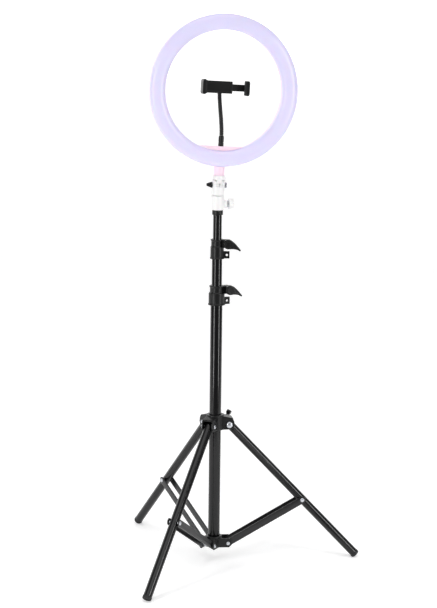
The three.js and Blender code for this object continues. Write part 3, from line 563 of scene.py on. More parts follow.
for lock, body, outer, inner, sleeve_wall in (
    ("lower", "root", COLUMN_OD, MIDDLE_OD, 3.5),
    ("upper", "middle", MIDDLE_OD, TOP_OD, 2.6),
):
    sleeve = outer / 2 + GAP + sleeve_wall
    grip = inner / 2 + 3.1
    socket = outer / 2 + GAP
    bore = inner / 2 + GAP
    ear_out = grip + 9.4
    tab_end = sleeve + 10.5
    across = -Vector(joints[lock + "_lever_turn"]["axis"])
    foot = column_foot.copy()
    foot.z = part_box(lock + "_lock_collar")[0].z
    place = frame_at(foot, across.cross(UP), UP)

    collar = spun(
        [
            (bore / 2, LOCK_HEIGHT),
            (grip + 1.2, LOCK_HEIGHT),
            (grip + 1.2, LOCK_HEIGHT - 2),
            (grip, LOCK_HEIGHT - 3.2),
            (grip, LOCK_STEP + 2),
            (sleeve, LOCK_STEP),
            (sleeve, 3),
            (sleeve + 1.2, 2),
            (sleeve + 1.2, 0),
            (bore / 2, 0),
        ]
    )
    joined(
        collar,
        slab((bore + 1, -EAR_HALF, LEVER_UP - 7.5), (ear_out, EAR_HALF, LEVER_UP + 7.5)),
        rod(7.5, (ear_out, -EAR_HALF, LEVER_UP), (ear_out, EAR_HALF, LEVER_UP)),
        slab((socket + 1, -2.2, 0.5), (tab_end, 2.2, 14)),
    )
    cut(
        collar,
        rod(bore, (0, 0, -1), (0, 0, LOCK_HEIGHT + 1)),
        rod(socket, (0, 0, -1), (0, 0, SOCKET_DEPTH)),
        rod(BOLT_HOLE, (ear_out, -20, LEVER_UP), (ear_out, 20, LEVER_UP)),
        rod(2.2, (tab_end - 5, -8, 7), (tab_end - 5, 8, 7)),
        slab((bore / 2, -1, LOCK_STEP - 0.5), (ear_out + 20, 1, LOCK_HEIGHT + 1)),
    )
    moulded(collar, 0.4, 4)
    fitted(
        collar, lock + "_split_collar", place, body, black_nylon, "black_plastic", lock + "_lock_collar"
    )

    claw = (
        [(0, 9), (3, 8.4)]
        + curve((3, 8.4), (11.5, 4.5), (23, -11))
        + curve((23, -11), (22.4, -13), (20.2, -12), 4)
        + curve((20.2, -12), (16, -8.4), (6, -8.4))
        + arc(0, 0, 9, 270, 90, 20)[:-1]
    )
    thumb_hollow = curve((8.5, 1.5), (13, -1), (18.5, -8)) + curve((18.5, -8), (13, -5.5), (8.5, -5))
    lever = plate(claw, -15.3, -7.3)
    joined(lever, rod(7, (0, -16.6, 0), (0, -8, 0)))
    cut(
        lever,
        rod(BOLT_HOLE, (0, -13.8, 0), (0, -6, 0)),
        rod(4.6, (0, -18, 0), (0, -15.7, 0)),
        plate(thumb_hollow, -17, -14.6),
    )
    moulded(lever, 0.35, 4)
    lever.data.transform(Matrix.Translation((ear_out, 0, LEVER_UP)))
    fitted(
        lever,
        lock + "_claw_lever",
        place,
        lock + "_lever",
        black_nylon,
        "black_plastic",
        lock + "_lock_lever",
    )

    bolt = rod(5.6, (ear_out, 7.3, LEVER_UP), (ear_out, 11.3, LEVER_UP), sides=6)
    edges_rounded(bolt, 0.4)
    shank = rod(SHANK, (ear_out, -13, LEVER_UP), (ear_out, 8, LEVER_UP))
    fitted(
        joined(bolt, shank),
        lock + "_hexagon_bolt",
        place,
        body_of(lock + "_lock_bolt"),
        zinc_plated_steel,
        "bright_steel",
        lock + "_lock_bolt",
    )


# ---- Top hub ----
# A nylon slider that runs on the column tube, with three channel-shaped arms for the legs and a
# butterfly knob on a boss between two of them.

HUB_WALL = 2.5
PIVOT_OUT = 26
TOP_CHANNEL = 8.8
SLEEVE_BORE = 11.4
SLEEVE_OUT = 16.2
PIVOT_BOLT = 2.5  # radius
LEGS = ("right", "back", "front")


def from_joint(name):
    """A joint's point and axis."""
    return Vector(joints[name]["pos_m"]), Vector(joints[name]["axis"]).normalized()


right_pivot, right_axis = from_joint("right_leg_fold")
pivot_up = right_pivot.z / MM
knob_up = from_joint("hub_knob_turn")[0].z / MM
# On the column axis, with X out along the right leg
hub_frame = frame_at(column_foot, right_axis.cross(UP), UP)

arm_outline = [
    (SLEEVE_BORE + 1.5, pivot_up - 9.5),
    (PIVOT_OUT + 2, pivot_up - 9),
    (PIVOT_OUT + 7.5, pivot_up - 7),
    (PIVOT_OUT + 10, pivot_up),
    (PIVOT_OUT + 9, pivot_up + 7),
    (PIVOT_OUT + 5, pivot_up + 13),
    (SLEEVE_BORE + 1.5, pivot_up + 17),
]
hollow_outline = [
    (SLEEVE_OUT - 2, pivot_up - 30),
    (PIVOT_OUT + 30, pivot_up - 30),
    (PIVOT_OUT + 30, pivot_up + 9.2),
    (SLEEVE_OUT - 2, pivot_up + 11.5),
]
low, high = knob_up - 9, pivot_up + 18.5
half = TOP_CHANNEL + HUB_WALL
hub = rod(SLEEVE_OUT, (0, 0, low), (0, 0, high))
for i in range(3):
    joined(hub, turned(plate(arm_outline, -half, half), 120 * i))
joined(hub, turned(rod(7, (12, 0, knob_up), (28.2, 0, knob_up)), 60))
for i in range(3):
    cut(
        hub,
        turned(plate(hollow_outline, -TOP_CHANNEL, TOP_CHANNEL), 120 * i),
        turned(rod(PIVOT_BOLT + GAP, (PIVOT_OUT, -20, pivot_up), (PIVOT_OUT, 20, pivot_up)), 120 * i),
    )
joined(
    hub,
    rod(SLEEVE_OUT, (0, 0, low), (0, 0, high)),
    ring_piece(SLEEVE_BORE, SLEEVE_OUT + 0.9, high - 2.5, high),
)
cut(
    hub,
    rod(SLEEVE_BORE, (0, 0, low - 1), (0, 0, high + 1)),
    turned(rod(BOLT_HOLE, (0, 0, knob_up), (29, 0, knob_up)), 60),
)
moulded(hub, 0.5, 5)
fitted(hub, "slider_hub", hub_frame, "hub", black_nylon, "black_plastic", "top_hub")

WING_NEAR = 36.2  # from the column axis
WING_SPAN = 16
WING_TURN = math.radians(22)

knob_point, knob_axis = from_joint("hub_knob_turn")
knob_frame = frame_at(knob_point, knob_axis, UP) @ Matrix.Rotation(WING_TURN, 4, "X")
wing = rod(6.5, (WING_NEAR, 0, 0), (WING_NEAR + 15, 0, 0), 5.2)
for side in (1, -1):
    joined(
        wing,
        plate(
            [
                (WING_NEAR + 3, 0),
                (WING_NEAR + 14, 0),
                (WING_NEAR + 15, side * WING_SPAN),
                (WING_NEAR + 8, side * WING_SPAN),
            ],
            -2.4,
            2.4,
        ),
        rod(4, (WING_NEAR + 11, -4, side * WING_SPAN), (WING_NEAR + 11, 4, side * WING_SPAN)),
    )
cut(wing, rod(BOLT_HOLE, (WING_NEAR - 1, 0, 0), (WING_NEAR + 9, 0, 0)))
moulded(wing, 0.35, 5)
fitted(wing, "butterfly_knob", knob_frame, "hub_knob", black_nylon, "black_plastic", "hub_wing_knob")

screw = rod(SHANK, (COLUMN_OD / 2 + GAP, 0, 0), (WING_NEAR + 8.6, 0, 0))
edges_rounded(screw, 0.4)
fitted(
    screw, "butterfly_screw", knob_frame, "hub_knob", zinc_plated_steel, "bright_steel", "hub_knob_screw"
)


# ---- Bottom hub ----
# A nylon casting pinned to the foot of the column tube, with three forks for the braces. Each
# fork is open above and below, and one steel pin holds the casting on the tube.

FORK_HALF = 11.9
BASE_OUT = 15
RIVET = 2  # radius

fork_up = from_joint("right_brace_fold")[0].z / MM
low, high = fork_up - 8, fork_up + 9.5
half = FORK_HALF + HUB_WALL
fork_outline = [
    (8, low),
    (PIVOT_OUT + 2, low),
    (PIVOT_OUT + 7, low + 5),
    (PIVOT_OUT + 7, high - 5),
    (PIVOT_OUT + 3, high),
    (8, high),
]
hollow_outline = [
    (14, low - 3),
    (PIVOT_OUT + 30, low - 3),
    (PIVOT_OUT + 30, high + 20),
    (14, high + 20),
]
base = rod(BASE_OUT, (0, 0, low), (0, 0, high + 3))
for i in range(3):
    joined(base, turned(plate(fork_outline, -half, half), 120 * i))
for i in range(3):
    cut(
        base,
        turned(plate(hollow_outline, -FORK_HALF, FORK_HALF), 120 * i),
        turned(rod(RIVET + GAP, (PIVOT_OUT, -20, fork_up), (PIVOT_OUT, 20, fork_up)), 120 * i),
    )
joined(base, rod(BASE_OUT, (0, 0, low), (0, 0, high + 3)))
cut(
    base,
    rod(COLUMN_OD / 2 + GAP, (0, 0, low - 1), (0, 0, high + 4)),
    turned(rod(RIVET + GAP, (0, -60, fork_up), (0, 60, fork_up)), 150),
)
moulded(base, 0.5, 5)
fitted(base, "fixed_hub", hub_frame, "root", black_nylon, "black_plastic", "bottom_hub")
carried("bottom_hub_pin", zinc_plated_steel)


# ---- Legs ----
# Three aluminium tubes, rounded off round their pivots at the top, and closed at the bottom by
# blunt rubber plugs whose rims are worn flat where they stand.

LEG_RADIUS = 8
FOOT_RADIUS = 8.4
FOOT_CHAMFER = 1
FOOT_FLAT = 0.4
FOOT_CAP = 5
FOOT_PLUG = 14
BRACE_DOWN = 202.7

# Hard rubber: near black and matt, with a dry bloom.
hard_rubber = grained("hard_rubber", "101011", "1c1c1d", 6, 0.7, 0.08, 0.68, 0.1)


def domed_head(radius, thick, flat):
    """A rivet head standing on Z, with a flat of the given radius on its crown."""
    rise = [
        (flat + (radius - flat) * math.cos(a), thick * math.sin(a))
        for a in (math.radians(9 * i) for i in range(11))
    ]
    made = spun([(0, 0), *rise, (0, thick)])
    only(made)
    bpy.ops.object.shade_smooth_by_angle(angle=EDGE_ANGLE)
    return made


def facing(made, at, side):
    """Stands a shape made on Z at a point, pointing along +Y or -Y."""
    made.data.transform(
        Matrix.Translation(at) @ Matrix.Rotation(-side * math.pi / 2, 4, "X")
    )
    return made


leg_places = {}
for leg in LEGS:
    pivot, axis = from_joint(leg + "_leg_fold")
    out = axis.cross(UP)
    spread = math.radians(joints[leg + "_leg_fold"]["range_deg"][1])
    foot_up = (FOOT_RADIUS - FOOT_CHAMFER) * math.sin(spread) - FOOT_FLAT
    leg_length = (pivot_up - foot_up) / math.cos(spread)
    place = frame_at(
        pivot,
        out * math.cos(spread) + UP * math.sin(spread),
        UP * math.cos(spread) - out * math.sin(spread),
    )
    leg_places[leg] = place

    end = GAP - (leg_length - FOOT_CAP)
    tube = rod(LEG_RADIUS, (0, 0, end), (0, 0, LEG_RADIUS), sides=96)
    keep = joined(
        slab((-9, -9, end - 2), (9, 9, 0)), rod(LEG_RADIUS, (0, -9, 0), (0, 9, 0), sides=96)
    )
    modified(tube, "BOOLEAN", operation="INTERSECT", object=keep, solver="EXACT")
    bpy.data.objects.remove(keep)
    cut(
        tube,
        rod(LEG_RADIUS - TUBE_WALL, (0, 0, end - 1), (0, 0, LEG_RADIUS + 1), sides=96),
        rod(PIVOT_BOLT + GAP, (0, -9, 0), (0, 9, 0)),
        rod(BOLT_HOLE, (0, -9, -BRACE_DOWN), (0, 9, -BRACE_DOWN)),
    )
    edges_rounded(tube, 0.2)
    fitted(
        tube, leg + "_leg_drawn", place, leg + "_leg", coated_aluminium, "black_tube", leg + "_leg_tube"
    )

    top = -(leg_length - FOOT_CAP)
    inside = LEG_RADIUS - TUBE_WALL - GAP
    plug = spun(
        [
            (0, -leg_length + 1.2),
            (3.5, -leg_length + 1.2),
            (4.3, -leg_length),
            (FOOT_RADIUS - FOOT_CHAMFER, -leg_length),
            (FOOT_RADIUS, FOOT_CHAMFER - leg_length),
            (FOOT_RADIUS, top),
            (inside, top),
            (inside, top + FOOT_PLUG),
            (0, top + FOOT_PLUG),
        ]
    )
    floor_cut = slab((-30, -30, -30), (30, 30, 0))
    level = place.inverted() @ Matrix.Translation(
        pivot + out * math.sin(spread) * leg_length * MM - UP * pivot.z
    )
    level.translation /= MM
    floor_cut.data.transform(level)
    cut(plug, floor_cut)
    edges_rounded(plug, 0.2)
    fitted(plug, leg + "_rubber_plug", place, leg + "_leg", hard_rubber, "rubber", leg + "_foot")

    stay = rod(SHANK, (0, -9.2, -BRACE_DOWN), (0, 9.2, -BRACE_DOWN))
    fitted(
        stay, leg + "_cross_rivet", place, leg + "_leg", zinc_plated_steel, "bright_steel", leg + "_leg_rivet"
    )

    reach = TOP_CHANNEL + HUB_WALL + GAP
    pin = joined(
        rod(PIVOT_BOLT, (0, -reach - 1, 0), (0, reach + 1, 0)),
        facing(domed_head(6.2, 3.5, 1.5), (0, -reach, 0), -1),
        facing(domed_head(3.6, 2.2, 1), (0, reach, 0), 1),
    )
    only(pin)
    bpy.ops.object.shade_smooth_by_angle(angle=EDGE_ANGLE)
    fitted(
        pin,
        leg + "_pivot_bolt",
        frame_at(pivot, out, UP),
        body_of(leg + "_leg_bolt"),
        zinc_plated_steel,
        "bright_steel",
        leg + "_leg_bolt",
    )


# ---- Braces ----
# A pair of black painted steel strips runs from each fork of the bottom hub to its leg, with
# rolled edges, and is riveted at both ends.

BRACE_INSIDE = 9.5
BRACE_THICK = 2
BRACE_HALF = 6.5

# Stove enamel on steel strip: black and glossy, slightly uneven.
stove_enamel = grained("stove_enamelled_steel", "0a0a0b", "131315", 22, 0.9, 0.03, 0.3, 0.07)

for leg in LEGS:
    pivot, axis = from_joint(leg + "_brace_fold")
    out = axis.cross(UP)
    lean = -math.radians(joints[leg + "_brace_fold"]["range_deg"][0])
    along = UP * math.cos(lean) + out * math.sin(lean)
    place = frame_at(pivot, out * math.cos(lean) - UP * math.sin(lean), along)
    knee = leg_places[leg] @ Vector((0, 0, -BRACE_DOWN * MM))
    reach = (knee - pivot).length / MM
    outline = arc(0, reach, BRACE_HALF, 0, 180) + arc(0, 0, BRACE_HALF, 180, 360)
    for letter, side in (("a", -1), ("b", 1)):
        near, far = sorted((side * BRACE_INSIDE, side * (BRACE_INSIDE + BRACE_THICK)))
        strip = plate(outline, near, far)
        cut(strip, rod(RIVET + GAP, (0, -20, 0), (0, 20, 0)))
        edges_rounded(strip, 0.45, 3)
        fitted(
            strip,
            f"{leg}_strip_{letter}",
            place,
            leg + "_braces",
            stove_enamel,
            "black_strip",
            f"{leg}_brace_{letter}",
        )
        head = facing(
            domed_head(4, 2, 1.2), (0, side * (BRACE_INSIDE + BRACE_THICK - 0.2), reach), side
        )
        fitted(
            head, f"{leg}_knee_rivet_{letter}", place, leg + "_braces", zinc_plated_steel, "bright_steel"
        )

    reach = FORK_HALF + HUB_WALL + GAP
    pin = joined(
        rod(RIVET, (0, -reach - 1, 0), (0, reach + 1, 0)),
        facing(domed_head(3.5, 1.8, 1), (0, -reach, 0), -1),
        facing(domed_head(3.5, 1.8, 1), (0, reach, 0), 1),
    )
    only(pin)
    bpy.ops.object.shade_smooth_by_angle(angle=EDGE_ANGLE)
    fitted(
        pin,
        leg + "_fork_rivet",
        frame_at(pivot, out, UP),
        body_of(leg + "_brace_rivet"),
        zinc_plated_steel,
        "bright_steel",
        leg + "_brace_rivet",
    )


# ---- Adapter ----
# A white moulded socket that drops over the top tube, with a fluted thumb knob on its right and a
# bright washer behind the knob.

SOCKET_RADIUS = 12
SOCKET_DEEP = 22.3
FLUTE = 1.6  # radius
KNOB_NEAR = 20.5
KNOB_THICK = 8.5
KNOB_RADIUS = 10

# White ABS: faintly warm, semi-gloss, with a soft moulding grain.
white_abs = grained(
    "white_abs",
    "f0efef",
    "f8f7f7",
    18,
    0.8,
    0.02,
    0.34,
    0.06,
    **{"Subsurface Weight": 0.05, "Subsurface Scale": 0.002},
)

low, high = span("adapter_socket")
screw_up = from_joint("socket_knob_turn")[0].z / MM
upright_frame = frame_at(column_foot, Vector((1, 0, 0)), UP)
socket = joined(
    rod(SOCKET_RADIUS, (0, 0, low), (0, 0, high)),
    rod(7.5, (0, 0, screw_up), (SOCKET_RADIUS + 4.5, 0, screw_up)),
)
cut(
    socket,
    rod(TOP_OD / 2 + GAP, (0, 0, low - 1), (0, 0, low + SOCKET_DEEP)),
    rod(BOLT_HOLE, (0, 0, screw_up), (SOCKET_RADIUS + 6, 0, screw_up)),
    ring_piece(SOCKET_RADIUS - 0.5, SOCKET_RADIUS + 1, high - 3.4, high - 2.6),
)
moulded(socket, 0.35, 4)
fitted(socket, "tube_adapter", upright_frame, "adapter", white_abs, "white_plastic", "adapter_socket")


def thumb_knob(length, radius, end_radius, count, depth):
    """A fluted knob standing on Z, tapering to its far end."""
    made = rod(radius, (0, 0, 0), (0, 0, length), end_radius)
    for i in range(count):
        angle = 2 * math.pi * i / count
        x, y = math.cos(angle), math.sin(angle)
        out = radius + FLUTE - depth
        end_out = end_radius + FLUTE - depth
        cut(
            made,
            rod(FLUTE, (x * out, y * out, -0.5), (x * end_out, y * end_out, length + 0.5), sides=16),
        )
    return made


knob = thumb_knob(KNOB_THICK, KNOB_RADIUS, KNOB_RADIUS - 0.8, 12, 0.7)
cut(
    knob,
    rod(BOLT_HOLE, (0, 0, -1), (0, 0, KNOB_THICK - 3)),
    rod(5, (0, 0, KNOB_THICK - 0.8), (0, 0, 20), 7),
)
moulded(knob, 0.3, 4)
knob.data.transform(Matrix.Translation((KNOB_NEAR, 0, screw_up)) @ Matrix.Rotation(math.pi / 2, 4, "Y"))
fitted(knob, "fluted_thumb_knob", upright_frame, "socket_knob", white_abs, "white_plastic", "socket_knob")

screw = joined(
    rod(SHANK, (TOP_OD / 2 + GAP, 0, screw_up), (KNOB_NEAR + KNOB_THICK - 3.3, 0, screw_up)),
    rod(6, (17.4, 0, screw_up), (KNOB_NEAR - GAP, 0, screw_up)),
)
edges_rounded(screw, 0.3)
fitted(
    screw,
    "thumb_screw",
    upright_frame,
    body_of("socket_screw"),
    zinc_plated_steel,
    "bright_steel",
    "socket_screw",
)


# ---- Tilting head ----
# A white fork on the adapter and a tongue with a slot in its front, clamped by a bolt with a
# small black fluted knob on the left. Heights are from the tilt axis, along the leaning head.

FORK_LOW = -18.66
FORK_TOP = -3
EAR_RADIUS = 9.5
EAR_INSIDE = 5.2
TONGUE_HALF = 4.9
TONGUE_RADIUS = 9
BLOCK_LOW = 10
BLOCK_HIGH = 17.5

tilt_point, tilt_axis = from_joint("tilt")
head_frame = frame_at(tilt_point, tilt_axis, tilt_axis.cross(Vector((0, 1, 0))))

fork = rod(SOCKET_RADIUS, (0, 0, FORK_LOW), (0, 0, FORK_TOP))
ears = rod(EAR_RADIUS, (-SOCKET_RADIUS, 0, 0), (SOCKET_RADIUS, 0, 0))
keep = rod(SOCKET_RADIUS, (0, 0, -20), (0, 0, 20))
modified(ears, "BOOLEAN", operation="INTERSECT", object=keep, solver="EXACT")
bpy.data.objects.remove(keep)
joined(fork, ears)
cut(
    fork,
    slab((-EAR_INSIDE, -20, 0), (EAR_INSIDE, 20, 40)),
    rod(EAR_RADIUS, (-EAR_INSIDE, 0, 0), (EAR_INSIDE, 0, 0)),
    rod(BOLT_HOLE, (-20, 0, 0), (20, 0, 0)),
)
moulded(fork, 0.3, 3)
fitted(fork, "tilting_fork", head_frame, "adapter", white_abs, "white_plastic", "tilt_fork")

tongue = joined(
    rod(TONGUE_RADIUS, (-TONGUE_HALF, 0, 0), (TONGUE_HALF, 0, 0)),
    slab((-TONGUE_HALF, -8.8, 0), (TONGUE_HALF, 8.8, BLOCK_LOW + 1)),
    rod(SOCKET_RADIUS, (0, 0, BLOCK_LOW), (0, 0, BLOCK_HIGH)),
)
cut(
    tongue,
    slab((-1.7, -10, -3.8), (1.7, -5.8, 3.8)),
    rod(BOLT_HOLE, (-20, 0, 0), (20, 0, 0)),
    ring_piece(SOCKET_RADIUS - 0.5, SOCKET_RADIUS + 1, BLOCK_HIGH - 2.6, BLOCK_HIGH - 1.8),
)
moulded(tongue, 0.3, 3)
fitted(tongue, "tilting_tongue", head_frame, "head", white_abs, "white_plastic", "tilt_tongue")

KNOB_LEFT = -12.6
KNOB_DEEP = 3.8  # how far the bolt goes into the knob
bolt = rod(5.5, (12.3, 0, 0), (15.3, 0, 0), sides=6)
edges_rounded(bolt, 0.35)
joined(bolt, rod(SHANK, (KNOB_LEFT - KNOB_DEEP, 0, 0), (13.3, 0, 0)))
fitted(
    bolt,
    "tilt_hexagon_bolt",
    head_frame,
    body_of("tilt_bolt"),
    zinc_plated_steel,
    "bright_steel",
    "tilt_bolt",
)

knob = thumb_knob(9.5, 5.8, 2.6, 6, 0.5)
cut(knob, rod(BOLT_HOLE, (0, 0, -1), (0, 0, KNOB_DEEP + GAP)))
moulded(knob, 0.25, 4)
knob.data.transform(Matrix.Translation((KNOB_LEFT, 0, 0)) @ Matrix.Rotation(-math.pi / 2, 4, "Y"))
fitted(knob, "tilt_clamp_knob", head_frame, "tilt_knob", black_nylon, "black_plastic", "tilt_knob")


# ---- Ring lamp ----
# A pale pink trough moulded in one piece, six screws in its back, closed in front by a domed
# milky cover that glows lavender. The board with the lights lies behind the cover.

RING_OUT = 137.5
RING_IN = 108.5
RING_MIDDLE = (RING_OUT + RING_IN) / 2
RING_ROUND = 256
SHELL_DEPTH = 14
DIFFUSER_DEPTH = 15
SHELL_WALL = 2
SHELL_CORNER = 5
NECK_LENGTH = 16.5
RING_FORWARD = 2  # in front of the tilt axis

# Pale pink ABS: semi-gloss and slightly translucent, with a faint painted glow that lightens its shaded faces.
pink_abs = grained(
    "pink_abs",
    "f3d6e7",
    "f8deec",
    24,
    0.8,
    0.02,
    0.36,
    0.06,
    **{
        "Subsurface Weight": 0.08,
        "Subsurface Scale": 0.003,
        "Emission Color": srgb("fbe3f2"),
        "Emission Strength": 0.08,
    },
)

# Milky acrylic over lavender-tinted lights: a soft inner glow under a smooth skin.
milky_acrylic = grained(
    "milky_acrylic",
    "d2ceeb",
    "d9d5f2",
    40,
    0.9,
    0.01,
    0.3,
    0.04,
    **{
        "Subsurface Weight": 0.3,
        "Subsurface Scale": 0.004,
        "Emission Color": srgb("e4defa"),
        "Emission Strength": 0.15,
    },
)

# White solder resist over a laminate board: flat white, a little glossy.
board_laminate = grained("white_laminate", "e4e4e0", "efefec", 10, 0.6, 0.01, 0.4, 0.08)

ring_up = RING_OUT + NECK_LENGTH + BLOCK_HIGH
ring_frame = head_frame @ Matrix.Translation((0, -RING_FORWARD * MM, ring_up * MM))
outside, inside = RING_OUT - 0.5, RING_IN + 0.5
outer_bend, inner_bend = outside - SHELL_CORNER, inside + SHELL_CORNER
bend_up = SHELL_DEPTH - SHELL_CORNER
profile = [
    (outside, 0),
    *arc(outer_bend, bend_up, SHELL_CORNER, 0, 90, 5),
    *arc(inner_bend, bend_up, SHELL_CORNER, 90, 180, 5),
    (inside, 0),
    (inside + SHELL_WALL, 0),
    (inside + SHELL_WALL, bend_up),
    (inner_bend, SHELL_DEPTH - SHELL_WALL),
    (outer_bend, SHELL_DEPTH - SHELL_WALL),
    (outside - SHELL_WALL, bend_up),
    (outside - SHELL_WALL, 0),
]
shell = spun(profile, RING_ROUND, across=True)
screw_places = []
for i in range(6):
    angle = math.radians(60 * i + 30)
    screw_places.append((RING_MIDDLE * math.cos(angle), RING_MIDDLE * math.sin(angle)))
for x, z in screw_places:
    cut(shell, rod(3.4, (x, SHELL_DEPTH - 1.2, z), (x, SHELL_DEPTH + 1, z), 3.9, sides=32))
edges_rounded(shell, 0.25)
fitted(shell, "ring_trough", ring_frame, "head", pink_abs, "pink_plastic", "ring_shell")

for i, (x, z) in enumerate(screw_places):
    screw = facing(domed_head(3.1, 0.9, 1.8), (x, SHELL_DEPTH - 1.1, z), 1)
    cut(
        screw,
        slab((x - 2, SHELL_DEPTH - 0.7, z - 0.35), (x + 2, SHELL_DEPTH + 1, z + 0.35)),
        slab((x - 0.35, SHELL_DEPTH - 0.7, z - 2), (x + 0.35, SHELL_DEPTH + 1, z + 2)),
    )
    fitted(screw, f"shell_screw_{i}", ring_frame, "head", zinc_plated_steel, "bright_steel")

COVER_WALL = 2
COVER_STRAIGHT = 5  # before the dome begins
COVER_STEPS = 20

half = (RING_OUT - RING_IN) / 2


def dome(inset):
    """The cover's arched section, from its outer edge to its inner one, moved in by an inset."""
    rise = DIFFUSER_DEPTH - COVER_STRAIGHT - inset
    angles = [math.pi * i / COVER_STEPS for i in range(COVER_STEPS + 1)]
    return [
        (RING_MIDDLE + (half - inset) * math.cos(a), -COVER_STRAIGHT - rise * math.sin(a))
        for a in angles
    ]


profile = [
    (RING_OUT, -GAP),
    *dome(0),
    (RING_IN, -GAP),
    (RING_IN + COVER_WALL, -GAP),
    *reversed(dome(COVER_WALL)),
    (RING_OUT - COVER_WALL, -GAP),
]
cover = spun(profile, RING_ROUND, across=True)
only(cover)
bpy.ops.object.shade_smooth_by_angle(angle=EDGE_ANGLE)
fitted(cover, "domed_cover", ring_frame, "head", milky_acrylic, "milky_plastic", "diffuser")
carried("led_board", board_laminate)

PAD_HEIGHT = 8

pad = rod(RING_IN - 0.5, (0, -9, 0), (0, 8, 0), sides=RING_ROUND)
keep = slab((-60, -20, -RING_IN), (60, 20, -RING_IN + PAD_HEIGHT))
modified(pad, "BOOLEAN", operation="INTERSECT", object=keep, solver="EXACT")
bpy.data.objects.remove(keep)
cut(pad, rod(BOLT_HOLE, (0, 0, -RING_IN + 2), (0, 0, -RING_IN + PAD_HEIGHT + 1)))
edges_rounded(pad, 0.9, 3)
fitted(pad, "gooseneck_pad", ring_frame, "head", pink_abs, "pink_plastic", "base_block")

angle = math.radians(-74)
x, z = RING_MIDDLE * math.cos(angle), RING_MIDDLE * math.sin(angle)
inlet = rod(6, (x, SHELL_DEPTH + 0.3, z), (x, SHELL_DEPTH + 6.3, z), 5)
cut(inlet, rod(2.75, (x, SHELL_DEPTH + 2, z), (x, SHELL_DEPTH + 8, z)))
edges_rounded(inlet, 0.4)
fitted(inlet, "supply_inlet", ring_frame, "head", black_nylon, "black_plastic", "power_inlet")
contact = rod(0.8, (x, SHELL_DEPTH + 1.9, z), (x, SHELL_DEPTH + 5.2, z), sides=16)
edges_rounded(contact, 0.2)
fitted(contact, "inlet_contact", ring_frame, "head", zinc_plated_steel, "bright_steel")

post = rod(10, (0, 0, BLOCK_HIGH + GAP), (0, 0, BLOCK_HIGH + 20.5))
cut(post, rod(RING_OUT + GAP, (0, -22, ring_up), (0, 18, ring_up), sides=RING_ROUND))
edges_rounded(post, 0.5, 3)
fitted(post, "ring_post", head_frame, "head", pink_abs, "pink_plastic", "neck")


# ---- Gooseneck ----
# A spiral-ribbed black hose over a steel core, rising from a ferrule on the pad and bending back
# and round to the ball behind the phone clamp.

FERRULE_RADIUS = 4.9
FERRULE_LENGTH = 19.3
HOSE_RADIUS = 3.8
RIB_PITCH = 2.2  # nearly, so that whole ribs fill the hose
BALL_RADIUS = 6
STEM_LENGTH = 11

# Soft vinyl sleeve: black and satin, faintly mottled.
black_vinyl = grained("black_vinyl", "0c0c0d", "161617", 9, 0.5, 0.03, 0.5, 0.1)

pad_top = ring_up - RING_IN + PAD_HEIGHT
fitting_top = pad_top + FERRULE_LENGTH
clamp_point = from_joint("clamp_tilt")[0]
clamp_up = (head_frame.inverted() @ clamp_point).z / MM
ball_back = (head_frame.inverted() @ clamp_point).y / MM
stem_end = ball_back + STEM_LENGTH

low = pad_top + GAP
fitting = spun(
    [
        (0, pad_top - 5),
        (SHANK, pad_top - 5),
        (SHANK, low),
        (FERRULE_RADIUS, low),
        (FERRULE_RADIUS, low + 6),
        (4.5, low + 6.5),
        (4.5, low + 7.5),
        (FERRULE_RADIUS, low + 8),
        (FERRULE_RADIUS, fitting_top - 2),
        (HOSE_RADIUS, fitting_top),
        (0, fitting_top),
    ]
)
fitting.data.transform(Matrix.Translation((0, -RING_FORWARD, 0)))
edges_rounded(fitting, 0.25)
fitted(fitting, "hose_ferrule", head_frame, "head", black_nylon, "black_plastic", "gooseneck_fitting")

path = bpy.data.curves.new("path", "CURVE")
path.dimensions = "3D"
path.resolution_u = 48
line = path.splines.new("BEZIER")
line.bezier_points.add(1)
bottom = fitting_top + GAP
near, far = line.bezier_points
near.co = near.handle_left = (0, -RING_FORWARD, bottom)
near.handle_right = (0, -RING_FORWARD, bottom + 0.35 * (clamp_up - bottom))
far.handle_left = (0, stem_end + 42, clamp_up)
far.co = far.handle_right = (0, stem_end + GAP, clamp_up)
way = bpy.data.objects.new("path", path)
bpy.context.scene.collection.objects.link(way)
length = line.calc_length()
turns = round(length / RIB_PITCH)
pitch = length / turns
profile = []
for i in range(turns):
    start = i * pitch
    profile += [
        (HOSE_RADIUS - 0.45, start),
        (HOSE_RADIUS - 0.1, start + 0.18 * pitch),
        (HOSE_RADIUS, start + 0.4 * pitch),
        (HOSE_RADIUS, start + 0.6 * pitch),
        (HOSE_RADIUS - 0.1, start + 0.82 * pitch),
    ]
profile.append((HOSE_RADIUS - 0.45, length))
hose = spun([(0, 0), *profile, (0, length)], 32)
hose.data.transform(Matrix.Rotation(math.pi / 2, 4, "Y"))
modified(hose, "CURVE", object=way, deform_axis="POS_X")
bpy.data.objects.remove(way)
only(hose)
bpy.ops.object.shade_smooth_by_angle(angle=math.radians(50))
fitted(hose, "ribbed_hose", head_frame, "head", black_vinyl, "gooseneck_hose", "gooseneck")

angles = [math.radians(-90 + 7.5 * i) for i in range(21)]
stud = spun(
    [(0, -BALL_RADIUS)]
    + [(BALL_RADIUS * math.cos(a), BALL_RADIUS * math.sin(a)) for a in angles[1:]]
    + [(SHANK, 7), (SHANK, 8), (HOSE_RADIUS, 8.3), (HOSE_RADIUS, STEM_LENGTH), (0, STEM_LENGTH)],
    across=True,
)
stud.data.transform(Matrix.Translation((0, ball_back, clamp_up)))
only(stud)
bpy.ops.object.shade_smooth_by_angle(angle=EDGE_ANGLE)
fitted(stud, "ball_and_stem", head_frame, "head", zinc_plated_steel, "bright_steel", "ball_stud")

